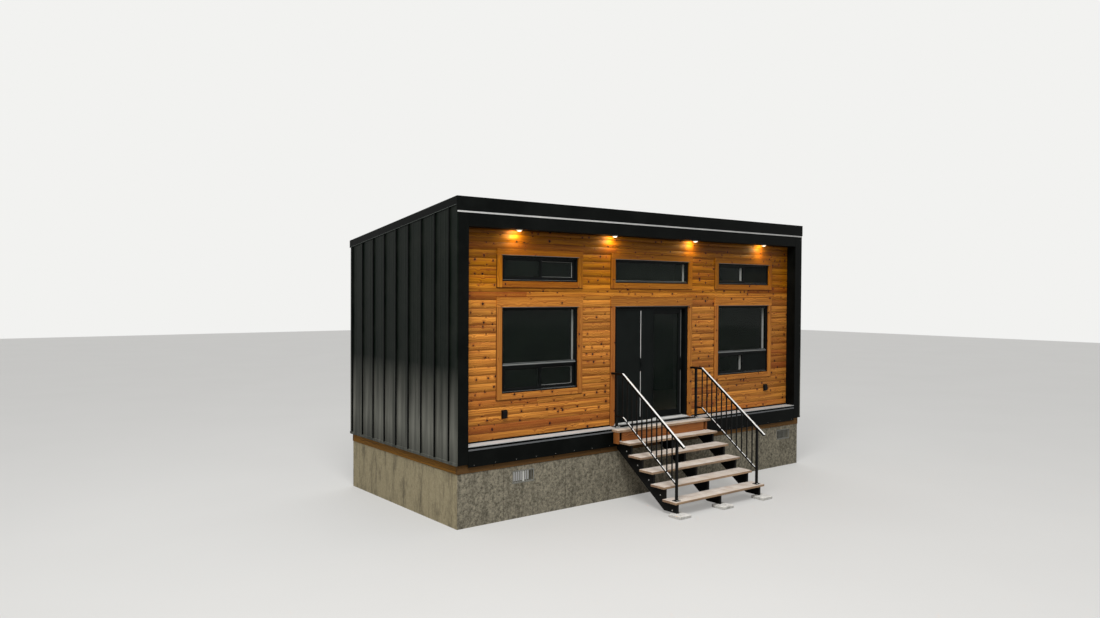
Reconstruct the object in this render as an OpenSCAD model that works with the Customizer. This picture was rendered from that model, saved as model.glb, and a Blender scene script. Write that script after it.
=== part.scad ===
/* [House] */

// Width over the side cladding, mm
body_w = 8280; // [6000:10:10000]
// Depth from the front face to the rear cladding, mm
body_d = 3600; // [2800:10:4500]
// Height of the cladding's lower edge above the ground, mm
base_z = 945; // [500:5:1200]
// Height of the roof edge's top above the cladding's lower edge, at the front, mm
front_h = 3944; // [3500:1:4600]
// Fall of the roof per metre of depth, mm
roof_fall = 135; // [20:1:250]
// Thickness of the side and rear walls without cladding, mm
wall_t = 150; // [90:1:250]
// Thickness of the cladding sheet with its battens, mm
clad_t = 20; // [10:1:40]
// Thickness of the insulated roof, mm
roof_t = 200; // [120:1:300]

/* [Front frame] */

// Depth of the recess from the front face to the boards, mm
recess = 200; // [100:1:600]
// Width of the frame's two upright fins, mm
fin_w = 205; // [120:1:400]
// Height of the soffit above the cladding's lower edge, mm
soffit_h = 3512; // [3000:1:3900]
// Thickness of the soffit board, mm
soffit_t = 20; // [10:1:40]
// Thickness of the header's front board, mm
header_t = 40; // [20:1:80]
// Height of the ledge's top above the cladding's lower edge, mm
ledge_h = 265; // [150:1:500]
// Thickness of the ledge board, mm
ledge_t = 12; // [8:1:40]
// Depth of the shadow gap below the ledge, mm
gap_deep = 10; // [5:1:30]
// Height of the shadow gap below the ledge, mm
gap_h = 31; // [10:1:60]
// Height of the light flashing under the gap, mm
strip_h = 25; // [10:1:50]
// How far the light flashings stand proud, mm
strip_proud = 6; // [2:1:20]
// Height of the light strip between header and roof edge, mm
head_strip_h = 26; // [10:1:60]
// Height of that strip's lower edge above the cladding's lower edge, mm
head_strip_z = 3708; // [3000:1:4200]
// How far the beam's skirt hangs below the cladding, mm
skirt_drop = 45; // [0:1:80]
// Thickness of the beam's skirt, mm
skirt_t = 12; // [4:1:25]

/* [Cladding] */

// Distance between standing seams, mm
seam_pitch = 412; // [250:1:600]
// Distance of the first seam from the front corner, mm
seam_first = 207; // [80:1:400]
// Width of a seam's rib, mm
seam_w = 18; // [8:1:40]
// How far a seam stands out, mm
seam_h = 25; // [10:1:50]
// Height of the flashing at the cladding's foot, mm
foot_h = 55; // [20:1:120]
// Thickness of the folded flashings, mm
flash_t = 10; // [2:1:20]

/* [Roof edge] */

// How far the roof edge stands out, mm
edge_out = 14; // [6:1:80]
// Height of the roof edge at the sides and rear, mm
edge_h = 127; // [60:1:250]
// Width of the roof edge's top, mm
edge_lip = 60; // [30:1:150]
// Thickness of the roof edge's top above the deck, mm
edge_top_t = 30; // [20:1:60]
// Thickness of the roof's metal pan, mm
pan_t = 8; // [3:1:20]
// Height of a roof seam above its pan, mm
roof_seam_h = 20; // [10:1:40]

/* [Base] */

// Height of the stained rim board below the cladding, mm
rim_h = 133; // [80:1:300]
// How far the rim board is set back from the cladding, mm
rim_back = 30; // [0:1:80]
// Thickness of the rim board, mm
rim_t = 38; // [20:1:60]
// How far the foundation is set back from the rim board, mm
stem_back = 8; // [0:1:60]
// Thickness of the foundation wall, mm
stem_t = 150; // [100:1:300]
// Width of a foundation vent, mm
vent_w = 420; // [200:1:600]
// Height of a foundation vent, mm
vent_h = 203; // [100:1:300]
// Height of the vents' centre above the ground, mm
vent_z = 640; // [200:1:700]
// Centre of the left vent from the left side, mm
vent_left_in = 1240; // [600:1:2500]
// Centre of the right vent from the right side, mm
vent_right_in = 500; // [400:1:2500]
// Width of a vent's border, mm
vent_rim = 22; // [10:1:40]
// Number of upright bars in a vent
vent_bars = 9; // [4:1:20]
// Thickness of a vent, mm
vent_t = 14; // [6:1:30]

/* [Windows and door] */

// Width of the patio door, mm
door_w = 1829; // [1500:1:2500]
// Height of the patio door's head above the cladding's lower edge, mm
head_h = 2313; // [2100:1:2500]
// Distance of the door's centre to the right of the house's middle, mm
door_off = 52; // [-400:1:400]
// Height of the floor above the cladding's lower edge, mm
floor_h = 275; // [200:1:400]
// Width of a window or side transom, mm
win_w = 1524; // [900:1:2000]
// Height of a window, mm
win_h = 1337; // [900:1:1600]
// Distance from the door's centre to a window's centre, mm
win_off = 2503; // [2000:1:3000]
// Height of the transoms, mm
tran_h = 406; // [250:1:600]
// Height of the transoms' top above the cladding's lower edge, mm
tran_top = 3121; // [2700:1:3400]
// Face width of the window frames, mm
frame_w = 32; // [25:1:60]
// Depth of the window frames, mm
frame_d = 70; // [64:1:110]
// Face width of the door's frame, mm
door_frame_w = 45; // [30:1:80]
// Depth of the door's frame, mm
door_frame_d = 110; // [108:1:140]
// How far the inner reveal is set back from a window frame's inner edge, mm
reveal_back = 6; // [0:1:20]
// Height of a window's lower light, from frame to mullion, mm
vent_light_h = 375; // [250:1:700]
// Face width of the mullions and sash stiles, mm
bar_w = 45; // [25:1:80]
// Depth of a window sash, mm
sash_d = 30; // [20:1:50]
// Thickness of the glass, mm
glass_t = 6; // [4:1:24]
// Width of the cedar trim round an opening, mm
trim_w = 96; // [60:1:150]
// Height of the head trim over a window or the door, mm
head_trim_h = 156; // [60:1:170]
// How far the cedar trim stands out from the boards, mm
trim_t = 19; // [10:1:40]
// Thickness of the cedar boards, mm
board_t = 20; // [12:1:30]
// Thickness of the front wall behind the boards, mm
front_t = 140; // [90:1:250]

/* [Sliding door] */

// Width of a door panel, mm
panel_w = 920; // [800:1:1200]
// Thickness of a door panel, mm
panel_t = 35; // [25:1:50]
// Face width of a door panel's stiles, mm
stile_w = 92; // [50:1:120]
// Face height of a door panel's bottom rail, mm
kick_h = 110; // [60:1:200]
// Height of the door's sill, mm
sill_h = 28; // [15:1:60]
// Running clearance of the sliding panel, mm
run_gap = 6; // [5:1:15]
// Gap between the two panels' tracks, mm
track_gap = 10; // [6:1:25]
// How far the panel stands open as built, mm
ajar = 38; // [0:1:400]
// Height of the handle's centre above the floor, mm
handle_z = 980; // [800:1:1200]
// Length of the handle, mm
handle_l = 220; // [150:1:300]

/* [Soffit lights and outlets] */

// Radius of a soffit light, mm
light_r = 48; // [30:1:90]
// How far a soffit light stands below the soffit, mm
light_h = 20; // [5:1:40]
// Distance between soffit lights, mm
light_pitch = 1990; // [1000:1:3000]
// Distance of a soffit light's middle behind the front face, mm
light_in = 60; // [50:1:150]
// Width of an outlet box, mm
outlet_w = 95; // [60:1:150]
// Height of an outlet box, mm
outlet_h = 135; // [80:1:200]
// Depth of an outlet box, mm
outlet_d = 45; // [20:1:80]
// Centre of the left outlet from the left side, mm
outlet_left_in = 975; // [500:1:2000]
// Centre of the right outlet from the right side, mm
outlet_right_in = 906; // [500:1:2000]
// Distance of the outlets' centre below the windows, mm
outlet_drop = 316; // [200:1:500]

/* [Stair] */

// Rise of a step, mm
rise = 193; // [150:1:210]
// Going of a step, mm
going = 262; // [220:1:350]
// Distance of the stair's middle to the left of the door's centre, mm
stair_off = 0; // [-300:1:300]
// Length of a tread, mm
tread_l = 2177; // [1500:1:2500]
// Depth of a tread, mm
tread_d = 295; // [250:1:350]
// Thickness of a tread, mm
tread_t = 38; // [25:1:50]
// Gap between a tread's two boards, mm
board_gap = 6; // [3:1:12]
// Height of the landing's top above the cladding's lower edge, mm
landing_h = 251; // [200:1:300]
// How far the landing stands out from the front face, mm
landing_d = 166; // [120:1:900]
// How far the landing reaches past the treads on the left, mm
landing_left = 60; // [0:1:300]
// How far the landing reaches past the treads on the right, mm
landing_right = 56; // [0:1:300]
// How far the landing's edge overhangs its riser board, mm
landing_nose = 12; // [0:1:40]
// How far the first tread's front stands out from the landing's front, mm
first_going = 213; // [180:1:350]
// Overhang of a tread in front of its riser line, mm
nosing = 33; // [0:1:50]
// Thickness of a stringer, mm
stringer_t = 38; // [30:1:60]
// Depth of solid stringer below the notches, measured upright, mm
throat = 163; // [120:1:220]
// Inset of the outer stringers from the treads' ends, mm
stringer_in = 61; // [0:1:150]
// Thickness of the riser board under the landing, mm
riser_t = 19; // [15:1:30]
// Thickness of the cheeks beside the riser board, mm
cheek_t = 38; // [19:1:50]
// Depth of a cheek, mm
cheek_d = 115; // [80:1:200]
// How far the left cheek stands out past the treads, mm
cheek_out = 54; // [45:1:120]
// Gap between a cheek and the riser board, mm
cheek_gap = 56; // [5:1:80]
// Width of a pad under a stringer, mm
pad_w = 305; // [150:1:400]
// Depth of a pad under a stringer, mm
pad_d = 305; // [200:1:400]
// How far a pad reaches in front of the stringer, mm
pad_out = 173; // [0:1:200]
// Thickness of a pad, mm
pad_t = 45; // [30:1:80]

/* [Railing] */

// Height of the rail's top above the landing and the nosings, mm
rail_h = 941; // [850:1:1070]
// Width of the top rail, mm
rail_w = 45; // [30:1:70]
// Thickness of the top rail, mm
rail_t = 38; // [20:1:60]
// Distance from the top rail's top to the lower rail's top, mm
low_rail_drop = 724; // [600:1:850]
// Width and thickness of the lower rail, mm
low_rail_w = 25; // [20:1:50]
// Width of a railing post, mm
post_w = 38; // [30:1:80]
// Width of a post's base plate, mm
plate_w = 100; // [80:1:150]
// Thickness of a post's base plate, mm
plate_t = 8; // [5:1:15]
// Width of a baluster, mm
baluster_w = 19; // [12:1:30]
// Distance between balusters, mm
baluster_pitch = 114; // [80:1:130]
// Number of balusters on the slope
balusters = 11; // [6:1:16]
// Inset of a railing from the treads' ends, mm
rail_in = 102; // [40:1:200]
// Distance of the rail's bend in front of the front face, mm
bend_out = 91; // [40:1:500]
// Distance of the upper post behind the front face, mm
top_post_y = 54; // [52:1:120]
// Distance of the lower post behind the last tread's front, mm
low_post_back = 86; // [50:1:150]
// How far the top rail runs past the lower post, mm
rail_past = 153; // [50:1:250]

/* [Hidden] */

$fn = 48;
black_metal = [0.08, 0.09, 0.10];
side_metal = [0.16, 0.18, 0.18];
cedar = [0.60, 0.36, 0.18];
pale_wood = [0.80, 0.72, 0.60];
pale_metal = [0.72, 0.72, 0.72];
concrete = [0.55, 0.53, 0.47];
stained = [0.25, 0.18, 0.12];
lining = [0.85, 0.84, 0.80];
tinted = [0.10, 0.14, 0.14];

// Heights above the ground
top_z = base_z + front_h;
slope = roof_fall / 1000;
soffit_z = base_z + soffit_h;
ledge_z = base_z + ledge_h;
floor_z = base_z + floor_h;
head_z = base_z + head_h;
win_z = head_z - win_h;
tran_z = base_z + tran_top - tran_h;
sill_z = floor_z + sill_h;
rim_z = base_z - rim_h;
strip_z = ledge_z - ledge_t - gap_h - strip_h;
beam_top = ledge_z - ledge_t;
head_strip_top = base_z + head_strip_z + head_strip_h;

// Planes along the depth
board_y = recess;
core_y = recess + board_t;
room_y = core_y + front_t;
frame_y = recess + 5;
frame_back = frame_y + frame_d;
sash_y = frame_y + 5;

// The door's opening and its panels
door_x = body_w / 2 + door_off;
door_l = door_x - door_w / 2;
door_r = door_x + door_w / 2;
left_x = door_x - win_off;
right_x = door_x + win_off;
panel_z = sill_z + run_gap;
panel_h = head_z - door_frame_w - run_gap - panel_z;
fixed_y = frame_y + 18;
slide_y = fixed_y + panel_t + track_gap;
slide_x = door_r - door_frame_w - run_gap - panel_w - ajar;

// The outlets and the vents
outlet_z = win_z - outlet_drop;
outlet_x = [outlet_left_in, body_w - outlet_right_in];
vent_x = [vent_left_in, body_w - vent_right_in];

// The stair
stair_x = door_x - stair_off - tread_l / 2;
landing_z = base_z + landing_h;
tread_f1 = -landing_d - first_going;
stringer_x = [stair_x + stringer_in,
              stair_x + tread_l / 2 - stringer_t / 2,
              stair_x + tread_l - stringer_in - stringer_t];
stair_end = tread_f1 - 4 * going;
top_notch_y = tread_f1 + nosing + going;
back_plane = -strip_proud;

// The railing
pitch = rise / going;
bend_y = -bend_out;
low_post_y = stair_end + low_post_back;
rail_end = low_post_y - rail_past;

// The whole object's middle along the depth
front_end = min(rail_end, riser_y(5) - pad_out);
mid_y = (front_end + body_d + max(edge_out, seam_h)) / 2;

// Height of the roof edge's top at a depth
function edge_z(y) = top_z - slope * (y + edge_out);
// Height of the roof deck's top and of its underside at a depth
function deck_z(y) = edge_z(y) - edge_top_t;
function under_z(y) = deck_z(y) - roof_t;
// Height of a tread's top and depth of its front, from the landing down
function tread_z(n) = landing_z - rise * n;
function tread_y(n) = tread_f1 - going * (n - 1);
function riser_y(n) = tread_y(n) + nosing;
// Height of the rail's top at a depth
function rail_z(y) = landing_z + rail_h - max(0, bend_y - y) * pitch;

// Puts the house in the middle of its base
module place() {
  translate([-body_w / 2, -mid_y, 0]) children();
}

// A solid with an outline along depth and height, from one side to the other
module across(x0, x1) {
  translate([x0, 0, 0]) rotate([90, 0, 90]) linear_extrude(x1 - x0) children();
}

module block(x0, x1, y0, y1, z0, z1) {
  translate([x0, y0, z0]) cube([x1 - x0, y1 - y0, z1 - z0]);
}

// A level ring with a wall of even thickness
module ring(inset, thick, z0, z1) {
  difference() {
    block(inset, body_w - inset, inset, body_d - inset, z0, z1);
    block(inset + thick, body_w - inset - thick, inset + thick, body_d - inset - thick, z0 - 1, z1 + 1);
  }
}

// An upright ring facing the front
module face_ring(x0, x1, z0, z1, w, y0, y1) {
  difference() {
    block(x0, x1, y0, y1, z0, z1);
    block(x0 + w, x1 - w, y0 - 1, y1 + 1, z0 + w, z1 - w);
  }
}

module foundation() {
  stem = rim_back + stem_back;
  color(concrete) place() difference() {
    ring(stem, stem_t, 0, rim_z);
    for (x = vent_x)
      block(x - vent_w / 2, x + vent_w / 2, stem - 1, stem + stem_t + 1,
            vent_z - vent_h / 2, vent_z + vent_h / 2);
  }
}

module vent(x) {
  stem = rim_back + stem_back;
  gap = (vent_w - 2 * vent_rim) / vent_bars;
  z0 = vent_z - vent_h / 2;
  z1 = vent_z + vent_h / 2;
  union() {
    face_ring(x - vent_w / 2, x + vent_w / 2, z0, z1, vent_rim, stem, stem + vent_t);
    for (i = [1 : vent_bars - 1])
      translate([x - vent_w / 2 + vent_rim + gap * i - gap / 4, stem + 2, z0 + vent_rim - 1])
        cube([gap / 2, vent_t - 4, vent_h - 2 * vent_rim + 2]);
  }
}

module foundation_vents() {
  color(side_metal) place() {
    for (x = vent_x) vent(x);
  }
}

module rim_board() {
  color(stained) place() ring(rim_back, rim_t, rim_z, base_z);
}

module floor_frame() {
  color(lining) place() block(clad_t, body_w - clad_t, core_y, body_d - clad_t, base_z, floor_z);
}

// A side wall under the sloping roof
module side_wall(x0, x1) {
  across(x0, x1) polygon([[core_y, floor_z], [body_d - clad_t, floor_z],
                          [body_d - clad_t, under_z(body_d - clad_t)], [core_y, under_z(core_y)]]);
}

module left_wall() {
  color(lining) place() side_wall(clad_t, clad_t + wall_t);
}

module right_wall() {
  color(lining) place() side_wall(body_w - clad_t - wall_t, body_w - clad_t);
}

module back_wall() {
  y0 = body_d - clad_t - wall_t;
  y1 = body_d - clad_t;
  color(lining) place() across(clad_t + wall_t, body_w - clad_t - wall_t)
    polygon([[y0, floor_z], [y1, floor_z], [y1, under_z(y1)], [y0, under_z(y0)]]);
}

// The left side's cladding: sheet, standing seams, foot flashing and smooth front corner
module side_cladding() {
  union() {
    across(0, clad_t) polygon([[0, base_z], [body_d, base_z], [body_d, deck_z(body_d)], [0, deck_z(0)]]);
    for (y = [seam_first : seam_pitch : body_d - seam_w])
      across(-seam_h, 1) polygon([[y - seam_w / 2, base_z + foot_h], [y + seam_w / 2, base_z + foot_h],
                                  [y + seam_w / 2, edge_z(y + seam_w / 2) - edge_h],
                                  [y - seam_w / 2, edge_z(y - seam_w / 2) - edge_h]]);
    block(-flash_t, 1, 0, body_d, base_z, base_z + foot_h - 15);
  }
}

module left_cladding() {
  color(side_metal) place() side_cladding();
}

module right_cladding() {
  color(side_metal) place() translate([body_w, 0, 0]) mirror([1, 0, 0]) side_cladding();
}

module back_cladding() {
  seams = floor((body_w - 2 * seam_first) / seam_pitch);
  start = (body_w - seams * seam_pitch) / 2;
  color(side_metal) place() union() {
    across(clad_t, body_w - clad_t)
      polygon([[body_d - clad_t, base_z], [body_d, base_z], [body_d, deck_z(body_d)],
               [body_d - clad_t, deck_z(body_d - clad_t)]]);
    for (i = [0 : seams])
      block(start + i * seam_pitch - seam_w / 2, start + i * seam_pitch + seam_w / 2,
            body_d - 1, body_d + seam_h, base_z + foot_h, edge_z(body_d + edge_out) - edge_h);
    block(clad_t, body_w - clad_t, body_d - 1, body_d + flash_t, base_z, base_z + foot_h - 15);
  }
}

// An opening in the front wall, narrower behind the window's frame
module wall_hole(x0, x1, z0, z1) {
  lining_in = frame_w - reveal_back;
  block(x0, x1, 0, frame_back, z0, z1);
  block(x0 + lining_in, x1 - lining_in, 0, room_y + 10, z0 + lining_in, z1 - lining_in);
}

module window_hole(x) {
  wall_hole(x - win_w / 2, x + win_w / 2, win_z, head_z);
}

module transom_hole(x, w) {
  wall_hole(x - w / 2, x + w / 2, tran_z, tran_z + tran_h);
}

module front_core(x0, x1, z0) {
  across(x0, x1) polygon([[core_y, z0], [room_y, z0], [room_y, under_z(room_y)], [core_y, under_z(core_y)]]);
}

module front_wall_left() {
  color(lining) place() difference() {
    front_core(clad_t + wall_t, door_l, floor_z);
    window_hole(left_x);
    transom_hole(left_x, win_w);
  }
}

module front_wall_right() {
  color(lining) place() difference() {
    front_core(door_r, body_w - clad_t - wall_t, floor_z);
    window_hole(right_x);
    transom_hole(right_x, win_w);
  }
}

module front_wall_over_door() {
  color(lining) place() difference() {
    front_core(door_l, door_r, head_z);
    transom_hole(door_x, door_w);
  }
}

module front_siding() {
  color(cedar) place() difference() {
    block(fin_w, body_w - fin_w, board_y, core_y, ledge_z, soffit_z);
    for (x = [left_x, right_x]) {
      window_hole(x);
      transom_hole(x, win_w);
    }
    transom_hole(door_x, door_w);
    block(door_l, door_r, 0, room_y, ledge_z - 1, head_z);
  }
}

// A fin of the front frame, from the side cladding to its inner face
module fin(x0, x1) {
  across(x0, x1) polygon([[0, base_z], [core_y, base_z], [core_y, under_z(core_y)], [0, under_z(0)]]);
}

module left_fin() {
  color(black_metal) place() fin(clad_t, fin_w);
}

module right_fin() {
  color(black_metal) place() fin(body_w - fin_w, body_w - clad_t);
}

module header() {
  color(black_metal) place() across(fin_w, body_w - fin_w)
    polygon([[0, soffit_z], [header_t, soffit_z], [header_t, under_z(header_t)], [0, under_z(0)]]);
}

module soffit() {
  color(black_metal) place() block(fin_w, body_w - fin_w, header_t, core_y, soffit_z, soffit_z + soffit_t);
}

module bottom_beam() {
  color(black_metal) place() across(fin_w, body_w - fin_w)
    polygon([[0, base_z - skirt_drop], [skirt_t, base_z - skirt_drop], [skirt_t, base_z], [core_y, base_z],
             [core_y, beam_top], [gap_deep, beam_top], [gap_deep, beam_top - gap_h], [0, beam_top - gap_h]]);
}

module ledge() {
  color(pale_metal) place() block(fin_w, body_w - fin_w, back_plane, board_y + board_t, beam_top, ledge_z);
}

// The light strips on the beam and under the roof edge
module light_flashings() {
  color(pale_metal) place() {
    block(fin_w, body_w - fin_w, back_plane, 0, strip_z, strip_z + strip_h);
    block(0, body_w, back_plane - 2, 0, head_strip_top - head_strip_h, head_strip_top);
  }
}

module roof_deck() {
  color(lining) place() across(clad_t, body_w - clad_t)
    polygon([[0, under_z(0)], [body_d - clad_t, under_z(body_d - clad_t)],
             [body_d - clad_t, deck_z(body_d - clad_t)], [0, deck_z(0)]]);
}

module roof_cladding() {
  y0 = edge_lip - edge_out;
  y1 = body_d + edge_out - edge_lip;
  x0 = edge_lip - edge_out;
  x1 = body_w + edge_out - edge_lip;
  seams = floor((x1 - x0 - seam_pitch / 2) / seam_pitch);
  start = (body_w - seams * seam_pitch) / 2;
  color(side_metal) place() union() {
    across(x0, x1) polygon([[y0, deck_z(y0)], [y1, deck_z(y1)], [y1, deck_z(y1) + pan_t],
                            [y0, deck_z(y0) + pan_t]]);
    for (i = [0 : seams])
      across(start + i * seam_pitch - seam_w / 2, start + i * seam_pitch + seam_w / 2)
        polygon([[y0, deck_z(y0) + 1], [y1, deck_z(y1) + 1], [y1, deck_z(y1) + pan_t + roof_seam_h],
                 [y0, deck_z(y0) + pan_t + roof_seam_h]]);
  }
}

// The folded metal edge round the roof, deeper at the front
module roof_edge_trim() {
  yb = body_d + edge_out;
  lip = edge_lip - edge_out;
  cut = edge_lip + 1;
  color(black_metal) place() union() {
    difference() {
      across(-edge_out, body_w + edge_out)
        polygon([[-edge_out, head_strip_top], [edge_lip, head_strip_top],
                 [edge_lip, edge_z(edge_lip) - edge_h], [yb, edge_z(yb) - edge_h], [yb, edge_z(yb)],
                 [-edge_out, edge_z(-edge_out)]]);
      across(0, body_w)
        polygon([[0, 0], [body_d, 0], [body_d, deck_z(body_d)], [0, deck_z(0)]]);
      block(lip, body_w - lip, lip, yb - edge_lip, 0, top_z + 1);
      for (x = [[-edge_out - 1, 0], [body_w, body_w + edge_out + 1]])
        across(x[0], x[1]) polygon([[0, 0], [cut, 0], [cut, edge_z(cut) - edge_h], [0, edge_z(0) - edge_h]]);
    }
  }
}

module soffit_lights() {
  color(pale_metal) place() for (i = [0 : 3])
    translate([body_w / 2 + (i - 1.5) * light_pitch, light_in, soffit_z - light_h])
      cylinder(h = light_h, r1 = light_r - 10, r2 = light_r);
}

// A large window: fixed light over a two-pane slider
module window_unit(x) {
  x0 = x - win_w / 2;
  x1 = x + win_w / 2;
  low_top = win_z + frame_w + vent_light_h;
  mid = sash_y + sash_d;
  union() {
    face_ring(x0, x1, win_z, head_z, frame_w, frame_y, frame_back);
    block(x0 + frame_w - 1, x1 - frame_w + 1, frame_y + 3, frame_back - 2, low_top, low_top + bar_w);
    face_ring(x0 + frame_w - 1, x + bar_w / 2, win_z + frame_w - 1, low_top + 1, bar_w, sash_y, mid);
    face_ring(x - bar_w / 2, x1 - frame_w + 1, win_z + frame_w - 1, low_top + 1, bar_w, mid, mid + sash_d);
  }
}

module window_left() {
  color(black_metal) place() window_unit(left_x);
}

module window_right() {
  color(black_metal) place() window_unit(right_x);
}

// A transom, with a middle stile where it slides
module transom_unit(x, w, split) {
  union() {
    face_ring(x - w / 2, x + w / 2, tran_z, tran_z + tran_h, frame_w, frame_y, frame_back);
    if (split)
      block(x - bar_w / 2, x + bar_w / 2, sash_y, sash_y + 2 * sash_d,
            tran_z + frame_w - 1, tran_z + tran_h - frame_w + 1);
  }
}

module transoms() {
  color(black_metal) place() {
    transom_unit(left_x, win_w, true);
    transom_unit(door_x, door_w, false);
    transom_unit(right_x, win_w, true);
  }
}

// A pane that fills the gap between its frame's bars
module pane(x0, x1, z0, z1, y) {
  block(x0, x1, y - glass_t / 2, y + glass_t / 2, z0, z1);
}

module window_panes(x) {
  x0 = x - win_w / 2 + frame_w;
  x1 = x + win_w / 2 - frame_w;
  low_top = win_z + frame_w + vent_light_h;
  y_out = sash_y + sash_d / 2;
  y_in = y_out + sash_d;
  pane(x0, x1, low_top + bar_w, head_z - frame_w, y_in);
  pane(x0 - 1 + bar_w, x - bar_w / 2, win_z + frame_w - 1 + bar_w, low_top + 1 - bar_w, y_out);
  pane(x + bar_w / 2, x1 + 1 - bar_w, win_z + frame_w - 1 + bar_w, low_top + 1 - bar_w, y_in);
}

module window_glass() {
  y_in = sash_y + sash_d;
  color(tinted) place() {
    window_panes(left_x);
    window_panes(right_x);
    for (x = [left_x, right_x]) {
      pane(x - win_w / 2 + frame_w, x - bar_w / 2, tran_z + frame_w, tran_z + tran_h - frame_w, y_in);
      pane(x + bar_w / 2, x + win_w / 2 - frame_w, tran_z + frame_w, tran_z + tran_h - frame_w, y_in);
    }
    pane(door_l + frame_w, door_r - frame_w, tran_z + frame_w, tran_z + tran_h - frame_w, y_in);
    pane(door_l + door_frame_w + stile_w, door_l + door_frame_w + panel_w - stile_w, panel_z + kick_h,
         panel_z + panel_h - stile_w, fixed_y + panel_t / 2);
  }
}

// Cedar trim round an opening
module trim_ring(x, w, z0, h, head) {
  difference() {
    block(x - w / 2 - trim_w, x + w / 2 + trim_w, board_y - trim_t, board_y, z0 - trim_w, z0 + h + head);
    block(x - w / 2, x + w / 2, board_y - trim_t - 1, board_y + 1, z0, z0 + h);
  }
}

module left_trims() {
  color(cedar) place() {
    trim_ring(left_x, win_w, win_z, win_h, head_trim_h);
    trim_ring(left_x, win_w, tran_z, tran_h, trim_w);
  }
}

module right_trims() {
  color(cedar) place() {
    trim_ring(right_x, win_w, win_z, win_h, head_trim_h);
    trim_ring(right_x, win_w, tran_z, tran_h, trim_w);
  }
}

module door_trims() {
  color(cedar) place() {
    trim_ring(door_x, door_w, tran_z, tran_h, trim_w);
    difference() {
      block(door_l - trim_w, door_r + trim_w, board_y - trim_t, board_y, ledge_z, head_z + head_trim_h);
      block(door_l, door_r, board_y - trim_t - 1, board_y + 1, ledge_z - 1, head_z);
    }
  }
}

module door_frame() {
  y1 = frame_y + door_frame_d;
  color(black_metal) place() union() {
    difference() {
      block(door_l, door_r, frame_y, y1, floor_z, head_z);
      block(door_l + door_frame_w, door_r - door_frame_w, frame_y - 1, y1 + 1, floor_z - 1,
            head_z - door_frame_w);
    }
    block(door_l + 1, door_r - 1, frame_y - 20, y1, floor_z, sill_z);
  }
}

// A glazed panel's frame, its lower left corner at the origin
module door_panel() {
  difference() {
    cube([panel_w, panel_t, panel_h]);
    translate([stile_w, -1, kick_h])
      cube([panel_w - 2 * stile_w, panel_t + 2, panel_h - kick_h - stile_w]);
  }
}

module door_fixed_panel() {
  color(black_metal) place() translate([door_l + door_frame_w, fixed_y, sill_z])
    difference() {
      cube([panel_w, panel_t, head_z - door_frame_w - sill_z]);
      translate([stile_w, -1, kick_h + run_gap])
        cube([panel_w - 2 * stile_w, panel_t + 2, panel_h - kick_h - stile_w]);
    }
}

module door_sliding_panel() {
  color(black_metal) place() translate([slide_x, slide_y, panel_z]) door_panel();
}

module door_sliding_glass() {
  color(tinted) place()
    pane(slide_x + stile_w, slide_x + panel_w - stile_w, panel_z + kick_h, panel_z + panel_h - stile_w,
         slide_y + panel_t / 2);
}

// A pull on two feet, on the sliding panel's lock stile
module door_handle() {
  x = slide_x + panel_w - stile_w / 2;
  z = floor_z + handle_z;
  color(black_metal) place() union() {
    translate([x - 9, slide_y - 34, z - handle_l / 2]) cube([18, 10, handle_l]);
    for (s = [-1, 1])
      translate([x - 9, slide_y - 26, z + s * (handle_l / 2 - 12) - 12]) cube([18, 26, 24]);
  }
}

module outlets() {
  color(black_metal) place() for (x = outlet_x)
    block(x - outlet_w / 2, x + outlet_w / 2, board_y - outlet_d, board_y,
          outlet_z - outlet_h / 2, outlet_z + outlet_h / 2);
}

module landing() {
  color(pale_wood) place()
    block(stair_x - landing_left, stair_x + tread_l + landing_right, -landing_d, back_plane,
          landing_z - tread_t, landing_z);
}

// The riser board under the landing between its two cheeks
module landing_box() {
  x0 = stair_x - cheek_out;
  x1 = stringer_x[2] + stringer_t;
  y0 = landing_nose - landing_d;
  z1 = landing_z - tread_t;
  color(cedar) place() {
    block(x0, x0 + cheek_t, y0, y0 + cheek_d, tread_z(1) - tread_t, z1);
    block(x1, x1 + cheek_t, y0, y0 + cheek_d, tread_z(1), z1);
    block(x0 + cheek_t + cheek_gap, x1 - cheek_gap, y0, y0 + riser_t, tread_z(1), z1);
  }
}

// One tread of two boards
module tread(n) {
  half = (tread_d - board_gap) / 2;
  for (i = [0, 1])
    translate([stair_x, tread_y(n) + i * (half + board_gap), tread_z(n) - tread_t])
      cube([tread_l, half, tread_t]);
}

module treads() {
  color(pale_wood) place() for (n = [1 : 5]) tread(n);
}

// The sawtooth outline of a stringer along depth and height
module stringer_outline() {
  low = tread_z(1) - tread_t - throat + (back_plane - top_notch_y) * pitch;
  foot = back_plane - (low - pad_t) / pitch;
  polygon(concat([[back_plane, low], [foot, pad_t], [riser_y(5), pad_t]],
                 [for (n = [5 : -1 : 1], k = [0, 1])
                    [k == 0 ? riser_y(n) : riser_y(n - 1),
                     tread_z(n) - tread_t]],
                 [[top_notch_y, landing_z - tread_t], [back_plane, landing_z - tread_t]]));
}

module stringers() {
  color(black_metal) place() for (x = stringer_x) across(x, x + stringer_t) stringer_outline();
}

module stair_pads() {
  y0 = riser_y(5) - pad_out;
  color(concrete) place() for (x = stringer_x)
    block(x + stringer_t / 2 - pad_w / 2, x + stringer_t / 2 + pad_w / 2, y0, y0 + pad_d, 0, pad_t);
}

// A band that follows the rail's line, drop below its top
module rail_band(drop, thick, y_start, y_end) {
  polygon([[y_start, landing_z + rail_h - drop], [bend_y, rail_z(bend_y) - drop],
           [y_end, rail_z(y_end) - drop], [y_end, rail_z(y_end) - drop - thick],
           [bend_y, rail_z(bend_y) - drop - thick], [y_start, landing_z + rail_h - drop - thick]]);
}

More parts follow.
